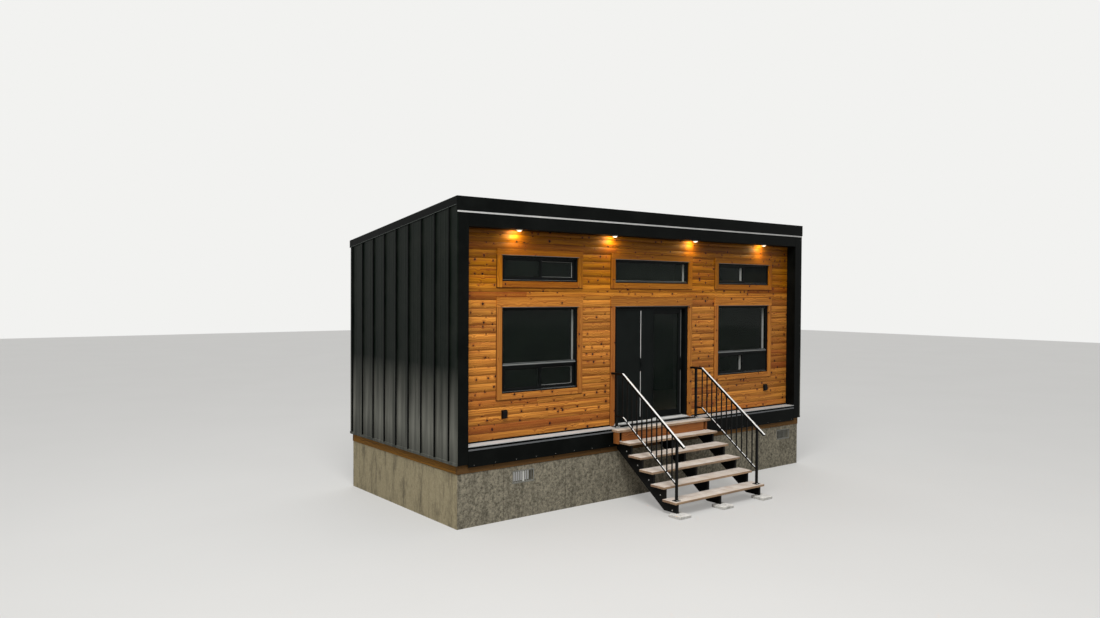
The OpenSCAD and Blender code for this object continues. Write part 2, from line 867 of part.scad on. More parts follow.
module rail(x) {
  union() {
    across(x - rail_w / 2, x + rail_w / 2) rail_band(0, rail_t, board_y - trim_t - 1, rail_end);
    across(x - low_rail_w / 2, x + low_rail_w / 2)
      rail_band(low_rail_drop, low_rail_w, top_post_y, low_post_y);
    for (i = [0 : balusters - 1]) {
      y = bend_y - 8 - i * baluster_pitch;
      block(x - baluster_w / 2, x + baluster_w / 2, y - baluster_w / 2, y + baluster_w / 2,
            rail_z(y) - low_rail_drop - 12, rail_z(y) - rail_t / 2);
    }
    block(x - post_w / 2, x + post_w / 2, top_post_y - post_w / 2, top_post_y + post_w / 2,
          ledge_z, landing_z + rail_h - rail_t / 2);
    block(x - plate_w / 2, x + plate_w / 2, top_post_y - plate_w / 2, top_post_y + plate_w / 2,
          ledge_z, ledge_z + plate_t);
    block(x - post_w / 2, x + post_w / 2, low_post_y - post_w / 2, low_post_y + post_w / 2,
          tread_z(5), rail_z(low_post_y) - rail_t / 2);
    block(x - plate_w / 2, x + plate_w / 2, low_post_y - plate_w / 2, low_post_y + plate_w / 2,
          tread_z(5), tread_z(5) + plate_t);
  }
}

module left_rail() {
  color(black_metal) place() rail(stair_x + rail_in);
}

module right_rail() {
  color(black_metal) place() rail(stair_x + tread_l - rail_in);
}

foundation();
foundation_vents();
rim_board();
floor_frame();  // floor
left_wall();
right_wall();
back_wall();
left_cladding();
right_cladding();
back_cladding();
front_wall_left();
front_wall_right();
front_wall_over_door();
front_siding();
left_fin();
right_fin();
header();
soffit();
bottom_beam();
ledge();
light_flashings();
roof_deck();  // roof
roof_cladding();
roof_edge_trim();
soffit_lights();
window_left();
window_right();
transoms();
window_glass();
left_trims();
right_trims();
door_trims();
door_frame();
door_fixed_panel();
door_sliding_panel();
door_sliding_glass();
door_handle();
outlets();
landing();
landing_box();
treads();
stringers();
stair_pads();
left_rail();
right_rail();
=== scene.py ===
import math
import random
from itertools import product

import bmesh
import bpy
from mathutils import Matrix, Vector


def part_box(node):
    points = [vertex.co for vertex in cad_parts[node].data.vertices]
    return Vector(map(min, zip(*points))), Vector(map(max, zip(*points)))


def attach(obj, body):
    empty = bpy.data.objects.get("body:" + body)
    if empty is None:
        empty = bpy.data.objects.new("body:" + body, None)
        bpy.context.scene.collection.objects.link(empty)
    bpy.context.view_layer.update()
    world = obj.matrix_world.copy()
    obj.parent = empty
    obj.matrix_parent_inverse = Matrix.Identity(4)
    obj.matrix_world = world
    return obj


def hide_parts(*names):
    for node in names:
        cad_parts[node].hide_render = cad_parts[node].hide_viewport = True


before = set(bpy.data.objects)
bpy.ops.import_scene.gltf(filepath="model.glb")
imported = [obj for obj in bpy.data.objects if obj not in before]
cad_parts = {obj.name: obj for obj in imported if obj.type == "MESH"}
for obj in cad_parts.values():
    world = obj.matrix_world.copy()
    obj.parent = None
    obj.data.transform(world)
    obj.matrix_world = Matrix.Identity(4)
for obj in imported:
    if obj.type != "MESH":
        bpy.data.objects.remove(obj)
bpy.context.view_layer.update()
BOX = {name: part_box(name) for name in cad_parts}

# The house's own planes and heights, in metres

SHEET = 0.020    # the sheets outside the front frame's sides and the back wall
LEFT = BOX["left_fin"][0].x - SHEET
RIGHT = BOX["right_fin"][1].x + SHEET
FRONT = BOX["left_fin"][0].y
BACK = BOX["left_wall"][1].y + SHEET
BASE = BOX["left_fin"][0].z
TOP = BOX["roof_edge_trim"][1].z
FIN_IN_L = BOX["left_fin"][1].x
FIN_IN_R = BOX["right_fin"][0].x
BOARDS, CORE = BOX["front_siding"][0].y, BOX["front_siding"][1].y
LEDGE = BOX["ledge"][1].z
SOFFIT = BOX["soffit"][0].z
FLOOR = BOX["floor"][1].z
FALL = 0.135     # the roof's fall for each metre of depth
EDGE_OUT = 0.014    # how far the roof's edge stands out before the front frame

WIN_L, WIN_R, DOOR = [(BOX[name][0].x, BOX[name][1].x)
                      for name in ("window_left", "window_right", "door_frame")]
WIN_Z, HEAD_Z = BOX["window_left"][0].z, BOX["window_left"][1].z
TRAN_Z = (BOX["transoms"][0].z, BOX["transoms"][1].z)
TRAN_SPANS = [WIN_L, DOOR, WIN_R]
FRAME_Y = BOX["window_left"][0].y
# A casing board's width, its width over a window or the door, and its thickness
TRIM_W, HEAD_TRIM, TRIM_T = 0.096, 0.156, 0.019
COURSE = 0.127   # one course of boards
SEAM = 0.412     # from one standing seam to the next
TIMBER = 0.038   # the thickness of framing timber: rim board, stringers, treads and cheeks


def edge_z(y):
    """Height of the roof edge's top at a depth."""
    return TOP - FALL * (y - FRONT + EDGE_OUT)


def deck_z(y):
    """Height of the roof's deck, and of the side sheets' tops, at a depth."""
    return edge_z(y) - 0.030


# Shapes


class Stock:
    """Collects the boards, bars and folded sheets of one piece."""

    def __init__(self, seed=1):
        self.points, self.faces, self.grain, self.tone = [], [], [], []
        self.dice = random.Random(seed)

    def add(self, points, faces, along=0, through=1):
        start, tone, across = len(self.points), self.dice.random(), 3 - along - through
        for p in points:
            self.points.append(tuple(p))
            self.grain.append((p[along] + 40 * tone, p[across] + 7 * tone, p[through]))
            self.tone.append(tone)
        self.faces += [tuple(start + i for i in face) for face in faces]


def about(middle, half):
    """The two ends of a length that lies evenly about its middle."""
    return middle - half, middle + half


def plank(stock, xs, ys, zs, along=0, cut=0.003):
    """A board or bar between two places on each axis, with its edges eased by cut."""
    ends = (xs, ys, zs)
    points = [[ends[k][c[k]] + (0 if k == axis else cut * (1, -1)[c[k]]) for k in range(3)]
              for c in product((0, 1), repeat=3) for axis in range(3)]

    def at(corner, axis):
        return 3 * (4 * corner[0] + 2 * corner[1] + corner[2]) + axis

    faces = [[3 * c, 3 * c + 1, 3 * c + 2] for c in range(8)]
    for axis in range(3):
        a, b = [k for k in range(3) if k != axis]
        for side in (0, 1):
            faces.append([at({axis: side, a: u, b: v}, axis) for u, v in ((0, 0), (1, 0), (1, 1), (0, 1))])
        for u, v in product((0, 1), repeat=2):
            near, far = {axis: 0, a: u, b: v}, {axis: 1, a: u, b: v}
            faces.append([at(near, a), at(far, a), at(far, b), at(near, b)])
    sides = [k for k in range(3) if k != along]
    stock.add(points, faces, along, min(sides, key=lambda k: ends[k][1] - ends[k][0]))


def bands(count, n):
    """The faces between count loops of n points, each loop joined to the next."""
    return [(k * n + i, k * n + (i + 1) % n, (k + 1) * n + (i + 1) % n, (k + 1) * n + i)
            for k in range(count - 1) for i in range(n)]


def caps(count, n):
    """The faces that close the first and the last of count loops."""
    return [tuple(range(n)), tuple(range((count - 1) * n, count * n))]


def run(stock, outline, place, along=0, through=1):
    """A folded sheet or bar: one outline, put at both ends by place(u, v, end)."""
    points = [place(u, v, end) for end in (0, 1) for u, v in outline]
    n = len(outline)
    stock.add(points, bands(2, n) + caps(2, n), along, through)


def along_x(x0, x1):
    """Places an outline of depth and height from x0 to x1."""
    return lambda u, v, end: ((x0, x1)[end], u, v)


def ring(stock, x0, x1, z0, z1, y, profile):
    """A mitred frame that faces the front; its profile is a loop of inset and depth."""
    points, faces, n = [], [], len(profile)
    for inset, deep in profile:
        points += [
            (x0 + inset, y + deep, z0 + inset), (x1 - inset, y + deep, z0 + inset),
            (x1 - inset, y + deep, z1 - inset), (x0 + inset, y + deep, z1 - inset),
        ]
    for i in range(n):
        j = (i + 1) % n
        faces += [(4 * i + c, 4 * i + (c + 1) % 4, 4 * j + (c + 1) % 4, 4 * j + c) for c in range(4)]
    stock.add(points, faces)


def rail_sweep(stock, x, path, profile):
    """A bar that follows a path of depth and height at one x, with mitred bends."""
    points, n = [], len(profile)
    for i, (y, z) in enumerate(path):
        before = Vector(path[i]) - Vector(path[i - 1]) if i else Vector(path[1]) - Vector(path[0])
        after = Vector(path[i + 1]) - Vector(path[i]) if i + 1 < len(path) else before
        before.normalize()
        after.normalize()
        mitre = (before + after).normalized()
        up = Vector((-mitre.y, mitre.x)) / max(0.3, mitre.dot(before))
        if up.y < 0:
            up = -up
        points += [(x + u, y + up.x * v, z + up.y * v) for u, v in profile]
    stock.add(points, bands(len(path), n) + caps(len(path), n), 1, 0)


def rounded(w, h, r, steps=3):
    """A bar's outline, w by h, with corners of radius r."""
    outline = []
    for cx, cy, start in ((w / 2 - r, h / 2 - r, 0), (r - w / 2, h / 2 - r, 90),
                          (r - w / 2, r - h / 2, 180), (w / 2 - r, r - h / 2, 270)):
        for i in range(steps + 1):
            a = math.radians(start + 90 * i / steps)
            outline.append((cx + r * math.cos(a), cy + r * math.sin(a)))
    return outline


def lathe(stock, x, y, z, profile, steps=32):
    """An upright turned form: its profile is a list of radius and height."""
    turns = [2 * math.pi * i / steps for i in range(steps)]
    points = [(x + r * math.cos(a), y + r * math.sin(a), z + h) for r, h in profile for a in turns]
    stock.add(points, bands(len(profile), steps) + caps(len(profile), steps))


def keep(mesh, name, material, body, replaces, smooth):
    """Turns a mesh into a finished piece that rides on its body."""
    work = bmesh.new()
    work.from_mesh(mesh)
    bmesh.ops.recalc_face_normals(work, faces=work.faces)
    work.to_mesh(mesh)
    work.free()
    mesh.materials.clear()
    mesh.materials.append(material)
    if smooth:
        mesh.shade_smooth()
        mesh.set_sharp_from_angle(angle=math.radians(smooth))
    piece = bpy.data.objects.new(name, mesh)
    bpy.context.scene.collection.objects.link(piece)
    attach(piece, body)
    if replaces:
        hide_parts(*replaces)
    return piece


def make(name, stock, material, body="house", replaces=(), smooth=0):
    """Makes the piece that a stock holds."""
    mesh = bpy.data.meshes.new(name)
    mesh.from_pydata(stock.points, [], stock.faces)
    mesh.attributes.new("grain", "FLOAT_VECTOR", "POINT").data.foreach_set(
        "vector", [c for p in stock.grain for c in p])
    mesh.attributes.new("tone", "FLOAT", "POINT").data.foreach_set("value", stock.tone)
    return keep(mesh, name, material, body, replaces, smooth)


# Nodes


def linear(text):
    """An sRGB hex colour as linear red, green, blue and alpha."""
    parts = [int(text[i:i + 2], 16) / 255 for i in (1, 3, 5)]
    return [c / 12.92 if c <= 0.04045 else ((c + 0.055) / 1.055) ** 2.4 for c in parts] + [1.0]


def fill(tree, made, *inputs, **named):
    """Gives a node its values: a number, a hex colour, a node or a socket. They come in the order of its live
    sockets, or by name, with _ for a space, as a socket (capital) or a setting of the node (small letter)."""
    for name in [name for name in named if name.islower()]:
        setattr(made, name, named.pop(name))
    live = [socket for socket in made.inputs if socket.enabled]
    given = list(zip(live, inputs))
    given += [(next(s for s in live if s.name == name.replace("_", " ")), named[name]) for name in named]
    for socket, value in given:
        if isinstance(value, bpy.types.Node):
            value = next(s for s in value.outputs if s.enabled)
        if isinstance(value, bpy.types.NodeSocket):
            tree.links.new(value, socket)
        else:
            socket.default_value = linear(value) if str(value).startswith("#") else value
    return made


def node(tree, kind, *inputs, **named):
    """Adds a node and fills it; a kind without a family is a ShaderNode."""
    return fill(tree, tree.nodes.new(kind if "Node" in kind else "ShaderNode" + kind), *inputs, **named)


# Repeated pieces, made by geometry nodes


def eased_bar(tree, size):
    """A bar one metre long, of the given width and depth, with eased edges."""
    outline = node(tree, "GeometryNodeCurvePrimitiveQuadrilateral", Width=size["Depth"], Height=size["Width"])
    eased = node(tree, "GeometryNodeFilletCurve", Curve=outline, Radius=size["Easing"], Count=1, mode="POLY")
    line = node(tree, "GeometryNodeCurvePrimitiveLine", Start=(0, 0, 0), End=(1, 0, 0))
    return node(tree, "GeometryNodeCurveToMesh", Curve=line, Profile_Curve=eased, Fill_Caps=True)


def pan_head(tree, size):
    """A fastener's head, wider at its foot."""
    top = node(tree, "Math", size["Head radius"], 0.7, operation="MULTIPLY")
    return node(tree, "GeometryNodeMeshCone", Vertices=size["Sides"], Radius_Top=top,
                Radius_Bottom=size["Head radius"], Depth=size["Head height"])


def repeat_tree(name, sizes, unit):
    """A tree that sets one unit on each point, turned and sized by the point's own values."""
    tree = bpy.data.node_groups.new(name, "GeometryNodeTree")
    face = tree.interface
    face.new_socket("Geometry", in_out="INPUT", socket_type="NodeSocketGeometry")
    for size, value in (*sizes.items(), ("Seed", 7)):
        kind = "NodeSocketInt" if isinstance(value, int) else "NodeSocketFloat"
        face.new_socket(size, in_out="INPUT", socket_type=kind).default_value = value
    face.new_socket("Material", in_out="INPUT", socket_type="NodeSocketMaterial")
    face.new_socket("Geometry", in_out="OUTPUT", socket_type="NodeSocketGeometry")
    given = node(tree, "NodeGroupInput").outputs
    board = node(tree, "GeometryNodeInputNamedAttribute", Name="board", data_type="INT")
    chance = node(tree, "FunctionNodeRandomValue", ID=board, Seed=given["Seed"], data_type="FLOAT")
    toned = node(tree, "GeometryNodeStoreNamedAttribute", Geometry=given["Geometry"], Name="tone",
                 Value=chance, data_type="FLOAT", domain="POINT")
    turn = node(tree, "GeometryNodeInputNamedAttribute", Name="turn", data_type="FLOAT_VECTOR")
    size = node(tree, "GeometryNodeInputNamedAttribute", Name="size", data_type="FLOAT_VECTOR")
    placed = node(tree, "GeometryNodeInstanceOnPoints", Points=toned, Instance=unit(tree, given),
                  Rotation=turn, Scale=size)
    solid = node(tree, "GeometryNodeRealizeInstances", Geometry=placed)
    place = node(tree, "SeparateXYZ", node(tree, "GeometryNodeInputPosition")).outputs
    tone = node(tree, "GeometryNodeInputNamedAttribute", Name="tone", data_type="FLOAT")
    shift = node(tree, "Math", tone, 40.0, place["X"], operation="MULTIPLY_ADD")
    across = node(tree, "Math", tone, 7.0, place["Z"], operation="MULTIPLY_ADD")
    grain = node(tree, "CombineXYZ", shift, across, place["Y"])
    grained = node(tree, "GeometryNodeStoreNamedAttribute", Geometry=solid, Name="grain", Value=grain,
                   data_type="FLOAT_VECTOR", domain="POINT")
    painted = node(tree, "GeometryNodeSetMaterial", Geometry=grained, Material=given["Material"])
    node(tree, "NodeGroupOutput", Geometry=painted)
    return tree


def turned(along, up):
    """The turn that lays a unit's length along one direction and its width along another."""
    x, z = Vector(along).normalized(), Vector(up).normalized()
    return tuple(Matrix((x, z.cross(x), z)).transposed().to_euler())


UPRIGHT_L, UPRIGHT_R = turned((0, 0, 1), (-1, 0, 0)), turned((0, 0, 1), (1, 0, 0))
UPRIGHT_BACK = turned((0, 0, 1), (0, 1, 0))
FACE_UP = (0.0, 0.0, 0.0)
FACE_FRONT = turned((1, 0, 0), (0, -1, 0))
FACE_L, FACE_R = turned((0, 1, 0), (-1, 0, 0)), turned((0, 1, 0), (1, 0, 0))


def repeated(name, tree, spots, sizes, material, body="house", replaces=(), smooth=0):
    """Runs a tree on spots of (place, turn, size, board) and keeps what it makes as a plain mesh."""
    cloud = bpy.data.meshes.new(name)
    cloud.from_pydata([spot[0] for spot in spots], [], [])
    for key, i in (("turn", 1), ("size", 2)):
        cloud.attributes.new(key, "FLOAT_VECTOR", "POINT").data.foreach_set(
            "vector", [c for spot in spots for c in spot[i]])
    cloud.attributes.new("board", "INT", "POINT").data.foreach_set("value", [spot[3] for spot in spots])
    draft = bpy.data.objects.new(name + "_spots", cloud)
    bpy.context.scene.collection.objects.link(draft)
    layer = draft.modifiers.new("repeat", "NODES")
    layer.node_group = tree
    sockets = {s.name: s.identifier for s in tree.interface.items_tree
               if s.item_type == "SOCKET" and s.in_out == "INPUT"}
    for key, value in sizes.items():
        layer[sockets[key]] = value
    layer[sockets["Material"]] = material
    bpy.context.view_layer.update()
    mesh = bpy.data.meshes.new_from_object(
        draft.evaluated_get(bpy.context.evaluated_depsgraph_get()))
    draft.modifiers.remove(layer)
    bpy.data.objects.remove(draft)
    mesh.name = name
    return keep(mesh, name, material, body, replaces, smooth)


bar_tree = repeat_tree("eased_bars", {"Width": 0.02, "Depth": 0.02, "Easing": 0.002}, eased_bar)
head_tree = repeat_tree("fastener_heads", {"Head radius": 0.006, "Head height": 0.004, "Sides": 10}, pan_head)


def bars(name, spots, width, depth, easing, seed, material, **more):
    """A bar on each spot."""
    sizes = {"Width": width, "Depth": depth, "Easing": easing, "Seed": seed}
    return repeated(name, bar_tree, spots, sizes, material, **more)


def fasteners(name, spots, radius, height, sides, seed):
    """A zinc-plated head on each (place, turn, board)."""
    sizes = {"Head radius": radius, "Head height": height, "Sides": sides, "Seed": seed}
    return repeated(name, head_tree, [(place, turn, (1, 1, 1), board) for place, turn, board in spots],
                    sizes, zinc)


# Materials


def surface(name, roughness, metallic=0.0, specular=0.5):
    """An empty material with its shader's constants set."""
    material = bpy.data.materials.new(name)
    material.use_nodes = True
    tree = material.node_tree
    shader = fill(tree, tree.nodes["Principled BSDF"], Roughness=roughness, Metallic=metallic,
                  Specular_IOR_Level=specular)
    return material, tree, shader


def line_across(tree, length, pitch, starts, full, strength):
    """A line at each pitch of a length. It starts at one share of the pitch and is full at another, both
    counted from midway between the pitch's marks."""
    count = node(tree, "Math", length, pitch, operation="DIVIDE")
    turn = node(tree, "Math", count, operation="FRACT")
    away = node(tree, "Math", turn, 0.5, operation="SUBTRACT")
    off = node(tree, "Math", away, operation="ABSOLUTE")
    return node(tree, "MapRange", off, starts, full, 0.0, strength)


def painted_light_facing(tree, base, way, least, most, pale, amount):
    """Paints light on the faces that look one way, as a second colour laid on them."""
    facing = node(tree, "TexCoord").outputs["Normal"]
    along = node(tree, "VectorMath", facing, way, operation="DOT_PRODUCT")
    lit_share = node(tree, "MapRange", along, least, most, 0.0, amount)
    return node(tree, "Mix", lit_share, base, pale, data_type="RGBA")


def wood(name, clear, streak, red, knot, roughness=0.55, specular=0.2, knot_pitch=0.17, knot_size=0.07,
         knot_share=0.5, joint=None, worn=None, shade=None):
    """Planed softwood boards: streaks along the board, dark knots with rings, one tone a board. A joint is
    its foot, pitch and colour, and a painted shade its foot, head and least level."""
    material, tree, shader = surface(name, roughness, specular=specular)
    grain = node(tree, "Attribute", attribute_name="grain").outputs["Vector"]
    tone = node(tree, "Attribute", attribute_name="tone").outputs["Fac"]
    part = node(tree, "SeparateXYZ", grain).outputs
    flat = node(tree, "CombineXYZ", part["X"], part["Y"])
    # Knots: one cell each, with ragged edges
    ragged = node(tree, "TexNoise", flat, Scale=45.0, Detail=2.0).outputs["Color"]
    bent = node(tree, "VectorMath", ragged, (0.030, 0.050, 0.0), flat, operation="MULTIPLY_ADD")
    cells = node(tree, "TexVoronoi", bent, Scale=1 / knot_pitch, Randomness=1.0, voronoi_dimensions="2D",
                 feature="F1").outputs
    chance = node(tree, "SeparateColor", cells["Color"]).outputs
    grown = node(tree, "MapRange", chance["Green"], 0.0, 1.0, knot_size * 0.4, knot_size * 1.4)
    there = node(tree, "MapRange", chance["Red"], 1 - knot_share, 1.04 - knot_share, 0.01, 1.0)
    size = node(tree, "Math", grown, there, operation="MULTIPLY")
    inner = node(tree, "Math", size, 0.68, operation="MULTIPLY")
    core = node(tree, "MapRange", cells["Distance"], size, inner, 0.0, 1.0)
    halo_edge = node(tree, "Math", size, 2.4, operation="MULTIPLY")
    halo = node(tree, "MapRange", cells["Distance"], halo_edge, size, 0.0, 0.5)
    # Streaks, drawn out along the board and bent round the knots
    swirl = node(tree, "MapRange", cells["Distance"], 0.0, 0.36, 1.6, 0.0)
    wide = node(tree, "Math", part["Y"], 52.0, swirl, operation="MULTIPLY_ADD")
    long = node(tree, "Math", part["X"], 0.9, operation="MULTIPLY")
    deep = node(tree, "Math", part["Z"], 46.0, operation="MULTIPLY")
    drawn = node(tree, "CombineXYZ", long, wide, deep)
    streaks = node(tree, "TexNoise", drawn, Scale=1.0, Detail=5.0, Roughness=0.66, Distortion=0.12)
    share = node(tree, "MapRange", streaks, 0.40, 0.64)
    base = node(tree, "Mix", share, clear, streak, data_type="RGBA")
    # One tone a board, and slow patches along it
    dice = node(tree, "TexWhiteNoise", tone, noise_dimensions="1D").outputs["Color"]
    die = node(tree, "SeparateColor", dice).outputs
    redness = node(tree, "MapRange", die["Red"], 0.68, 1.0, 0.0, 0.8)
    warmed = node(tree, "Mix", redness, base, red, data_type="RGBA")
    patch = node(tree, "Mapping", flat, Scale=(1.1, 5.0, 1.0))
    cloud = node(tree, "TexNoise", patch, Scale=1.0, Detail=3.0)
    lift = node(tree, "Math", die["Green"], 0.38, 0.60, operation="MULTIPLY_ADD")
    level = node(tree, "Math", cloud, 0.42, lift, operation="MULTIPLY_ADD")
    place = node(tree, "TexCoord").outputs
    height = node(tree, "SeparateXYZ", place["Object"]).outputs["Z"]
    rich = 1.0
    # Painted shade: darker and more saturated upwards from the shade's foot to its head, under the soffit
    if shade:
        low, high, least = shade
        kept = node(tree, "MapRange", height, low, high, 1.0, least, interpolation_type="SMOOTHSTEP")
        level = node(tree, "Math", level, kept, operation="MULTIPLY")
        rich = node(tree, "Math", kept, -0.22, 1.22, operation="MULTIPLY_ADD")
    toned = node(tree, "HueSaturation", Color=warmed, Value=level, Saturation=rich, Hue=0.5, Fac=1.0)
    ringed = node(tree, "Mix", halo, toned, red, data_type="RGBA")
    last = node(tree, "Mix", core, ringed, knot, data_type="RGBA")
    if joint:
        foot, pitch, dark = joint
        course = node(tree, "Math", height, foot, operation="SUBTRACT")
        line = line_across(tree, course, pitch, 0.480, 0.494, 0.85)
        last = node(tree, "Mix", line, last, dark, data_type="RGBA")
    if worn:
        scuff = node(tree, "TexNoise", place["Object"], Scale=5.0, Detail=6.0)
        rub = node(tree, "MapRange", scuff, 0.3, 0.7, 0.55, 0.95)
        facing = node(tree, "SeparateXYZ", place["Normal"]).outputs["Z"]
        upward = node(tree, "MapRange", facing, 0.2, 0.9, 0.15, 1.0)
        washed = node(tree, "Math", rub, upward, operation="MULTIPLY")
        last = node(tree, "Mix", washed, last, worn, data_type="RGBA")
    rise = node(tree, "Math", streaks, core, operation="ADD")
    bump = node(tree, "Bump", Height=rise, Strength=0.3, Distance=0.0015)
    fill(tree, shader, Base_Color=last, Normal=bump)
    return material


def coated_steel(name, coat, dust, roughness, specular, painted_reflection_foot=None, wave=0.0, dust_share=0.18):
    """Painted sheet steel: an even coat with a thin film of dust, a painted reflection streaked between the
    foot's two heights, and slow waves where it is flat."""
    material, tree, shader = surface(name, roughness, specular=specular)
    place = node(tree, "TexCoord").outputs["Object"]
    film = node(tree, "TexNoise", place, Scale=2.2, Detail=8.0, Roughness=0.65)
    thin = node(tree, "MapRange", film, 0.42, 0.75, 0.0, dust_share)
    # Painted reflection of the ground: a paler streaked film from the foot up, in the dust's colour
    if painted_reflection_foot:
        low, high, share = painted_reflection_foot
        height = node(tree, "SeparateXYZ", place).outputs["Z"]
        near = node(tree, "MapRange", height, high, low + 0.5, 0.0, 1.0)
        swept = node(tree, "MapRange", height, low, low + 0.4, 0.5, 1.0)
        more = node(tree, "Math", near, swept, operation="MULTIPLY")
        upright = node(tree, "Mapping", place, Scale=(9.0, 9.0, 0.5))
        runs = node(tree, "TexNoise", upright, Scale=1.0, Detail=5.0)
        streaked = node(tree, "MapRange", runs, 0.36, 0.68, share * 0.3, share)
        painted_reflection_share = node(tree, "Math", more, streaked, operation="MULTIPLY")
        thin = node(tree, "Math", thin, painted_reflection_share, operation="ADD")
    base = node(tree, "Mix", thin, coat, dust, data_type="RGBA")
    rough = node(tree, "MapRange", film, 0.3, 0.7, roughness - 0.06, roughness + 0.08)
    fill(tree, shader, Base_Color=base, Roughness=rough)
    if wave:
        tall = node(tree, "Mapping", place, Scale=(2.4, 2.4, 0.8))
        slow = node(tree, "TexNoise", tall, Scale=1.0, Detail=1.0)
        fill(tree, shader, Normal=node(tree, "Bump", Height=slow, Strength=wave, Distance=0.02))
    return material


def cast_concrete(name, light, dark, stain, joints=0.0, painted_lit_side=None):
    """Concrete cast against forms: blotches, small air holes, damp streaks, faint form joints, and painted
    light on the faces that look one way.
    """
    material, tree, shader = surface(name, 0.9, specular=0.25)
    place = node(tree, "TexCoord").outputs["Object"]
    cloud = node(tree, "TexNoise", place, Scale=20.0, Detail=9.0, Roughness=0.84)
    share = node(tree, "MapRange", cloud, 0.38, 0.60)
    base = node(tree, "Mix", share, dark, light, data_type="RGBA")
    stretched = node(tree, "Mapping", place, Scale=(4.4, 4.4, 1.2))
    damp = node(tree, "TexNoise", stretched, Scale=1.7, Detail=8.0, Roughness=0.75)
    wet = node(tree, "MapRange", damp, 0.49, 0.66, 0.0, 0.6)
    # Painted light: a paler colour on the faces that look one way
    if painted_lit_side:
        base = painted_light_facing(tree, base, *painted_lit_side)
    last = node(tree, "Mix", wet, base, stain, data_type="RGBA")
    holes = node(tree, "TexVoronoi", place, Scale=26.0, feature="F1").outputs["Distance"]
    pit = node(tree, "MapRange", holes, 0.13, 0.07, 0.0, 0.7)
    last = node(tree, "Mix", pit, last, stain, data_type="RGBA")
    height = node(tree, "Math", cloud, pit, operation="SUBTRACT")
    if joints:
        where = node(tree, "SeparateXYZ", place).outputs
        round_house = node(tree, "Math", where["X"], where["Y"], operation="ADD")
        line = line_across(tree, round_house, joints, 0.006, 0.003, 0.5)
        last = node(tree, "Mix", line, last, stain, data_type="RGBA")
        height = node(tree, "Math", height, line, operation="ADD")
    bump = node(tree, "Bump", Height=height, Strength=0.5, Distance=0.004)
    fill(tree, shader, Base_Color=last, Normal=bump)
    return material


def fine_grained(name, colour, other, roughness, specular=0.5, metallic=0.0, scale=900.0, bump=0.1,
                 film=None):
    """A moulded, rolled or rubbed surface with a fine even texture, and painted light on the faces that look
    one way.
    """
    material, tree, shader = surface(name, roughness, metallic, specular)
    place = node(tree, "TexCoord").outputs["Object"]
    grit = node(tree, "TexNoise", place, Scale=scale, Detail=2.0)
    soft = node(tree, "TexNoise", place, Scale=4.0, Detail=6.0)
    share = node(tree, "MapRange", soft, 0.35, 0.7, 0.0, 0.5)
    base = node(tree, "Mix", share, colour, other, data_type="RGBA")
    # Painted light: a second colour on the faces that look the film's way
    if film:
        base = painted_light_facing(tree, base, *film)
    lumps = node(tree, "Bump", Height=grit, Strength=bump, Distance=0.0004)
    fill(tree, shader, Base_Color=base, Normal=lumps)
    return material


# Oiled knotty cedar, planed: honey orange with near-black knots, redder heartwood boards, dark joints; the
# courses under the soffit are painted darker and richer, a painted shade from the soffit
cedar_boards = wood("oiled_knotty_cedar", "#DF943C", "#94501B", "#8E4218", "#150A05",
                    knot_pitch=0.16, knot_size=0.115, knot_share=0.6, joint=(LEDGE, COURSE, "#3A1E0B"),
                    shade=(SOFFIT - 1.30, SOFFIT - 0.25, 0.46))
# The same cedar in clearer casing boards, a little lighter and more even, with the same painted shade under
# the soffit
cedar_casing = wood("oiled_cedar_casing", "#D08838", "#9C5A22", "#92491C", "#1C0E07",
                    knot_pitch=0.2, knot_size=0.085, knot_share=0.45,
                    shade=(SOFFIT - 1.30, SOFFIT - 0.25, 0.50))
# Cedar that holds the landing, handled and a little greyer
cedar_box = wood("oiled_cedar_stair_box", "#A0622F", "#6E3F1C", "#74401F", "#2A1A10",
                 knot_pitch=0.2, knot_size=0.04, knot_share=0.3)
# Fir rim board under a worn brown stain: streaks show through, dull
stained_fir = wood("stained_fir", "#76552F", "#493622", "#563E24", "#1C120B", roughness=0.7,
                   specular=0.1, knot_pitch=0.3, knot_size=0.04, knot_share=0.3)
# The same fir on the left end, painted lighter and yellower than on the other sides: painted light on that
# side
lit_fir = wood("stained_fir_painted_lit", "#9B6B2A", "#61451E", "#724F20", "#1F140C", roughness=0.7,
                 specular=0.1, knot_pitch=0.3, knot_size=0.04, knot_share=0.3)
# Softwood treads, tan on their edges and bleached to a pale warm grey on the faces that take sun and feet
bleached_wood = wood("weathered_tread_wood", "#B8946E", "#7E5F42", "#876045", "#5A3E2A", roughness=0.75,
                     specular=0.15, knot_pitch=0.3, knot_size=0.03, knot_share=0.35, worn="#E6DED4")

# Standing-seam steel with a baked dark green-grey paint: satin, a paler streaked painted reflection of the
# ground low down, slow waves in the pans
seam_steel = coated_steel("baked_paint_steel_charcoal", "#09120C", "#A9A89D", 0.42, 0.06,
                          painted_reflection_foot=(BASE, BASE + 1.45, 0.66), wave=0.25, dust_share=0.03)
# Flat black steel flashings with a matt baked paint
black_steel = coated_steel("baked_paint_steel_black", "#060807", "#5C5F5B", 0.5, 0.05, wave=0.08,
                           dust_share=0.04)
# The folded hems of the same black flashing, coloured grey: a painted highlight along the hem
hem_steel = coated_steel("black_steel_painted_highlight", "#4A504C", "#6E736F", 0.45, 0.2)
# Light flashing of mill-finish aluminium, weathered to an even pale grey
pale_flashing = coated_steel("weathered_aluminium", "#CBCBC9", "#E6E4DF", 0.5, 0.4, dust_share=0.6)
# The same on the ledge, under more dust
ledge_flashing = coated_steel("dusty_aluminium", "#BEBFBF", "#D0CFCB", 0.55, 0.3, dust_share=0.6)
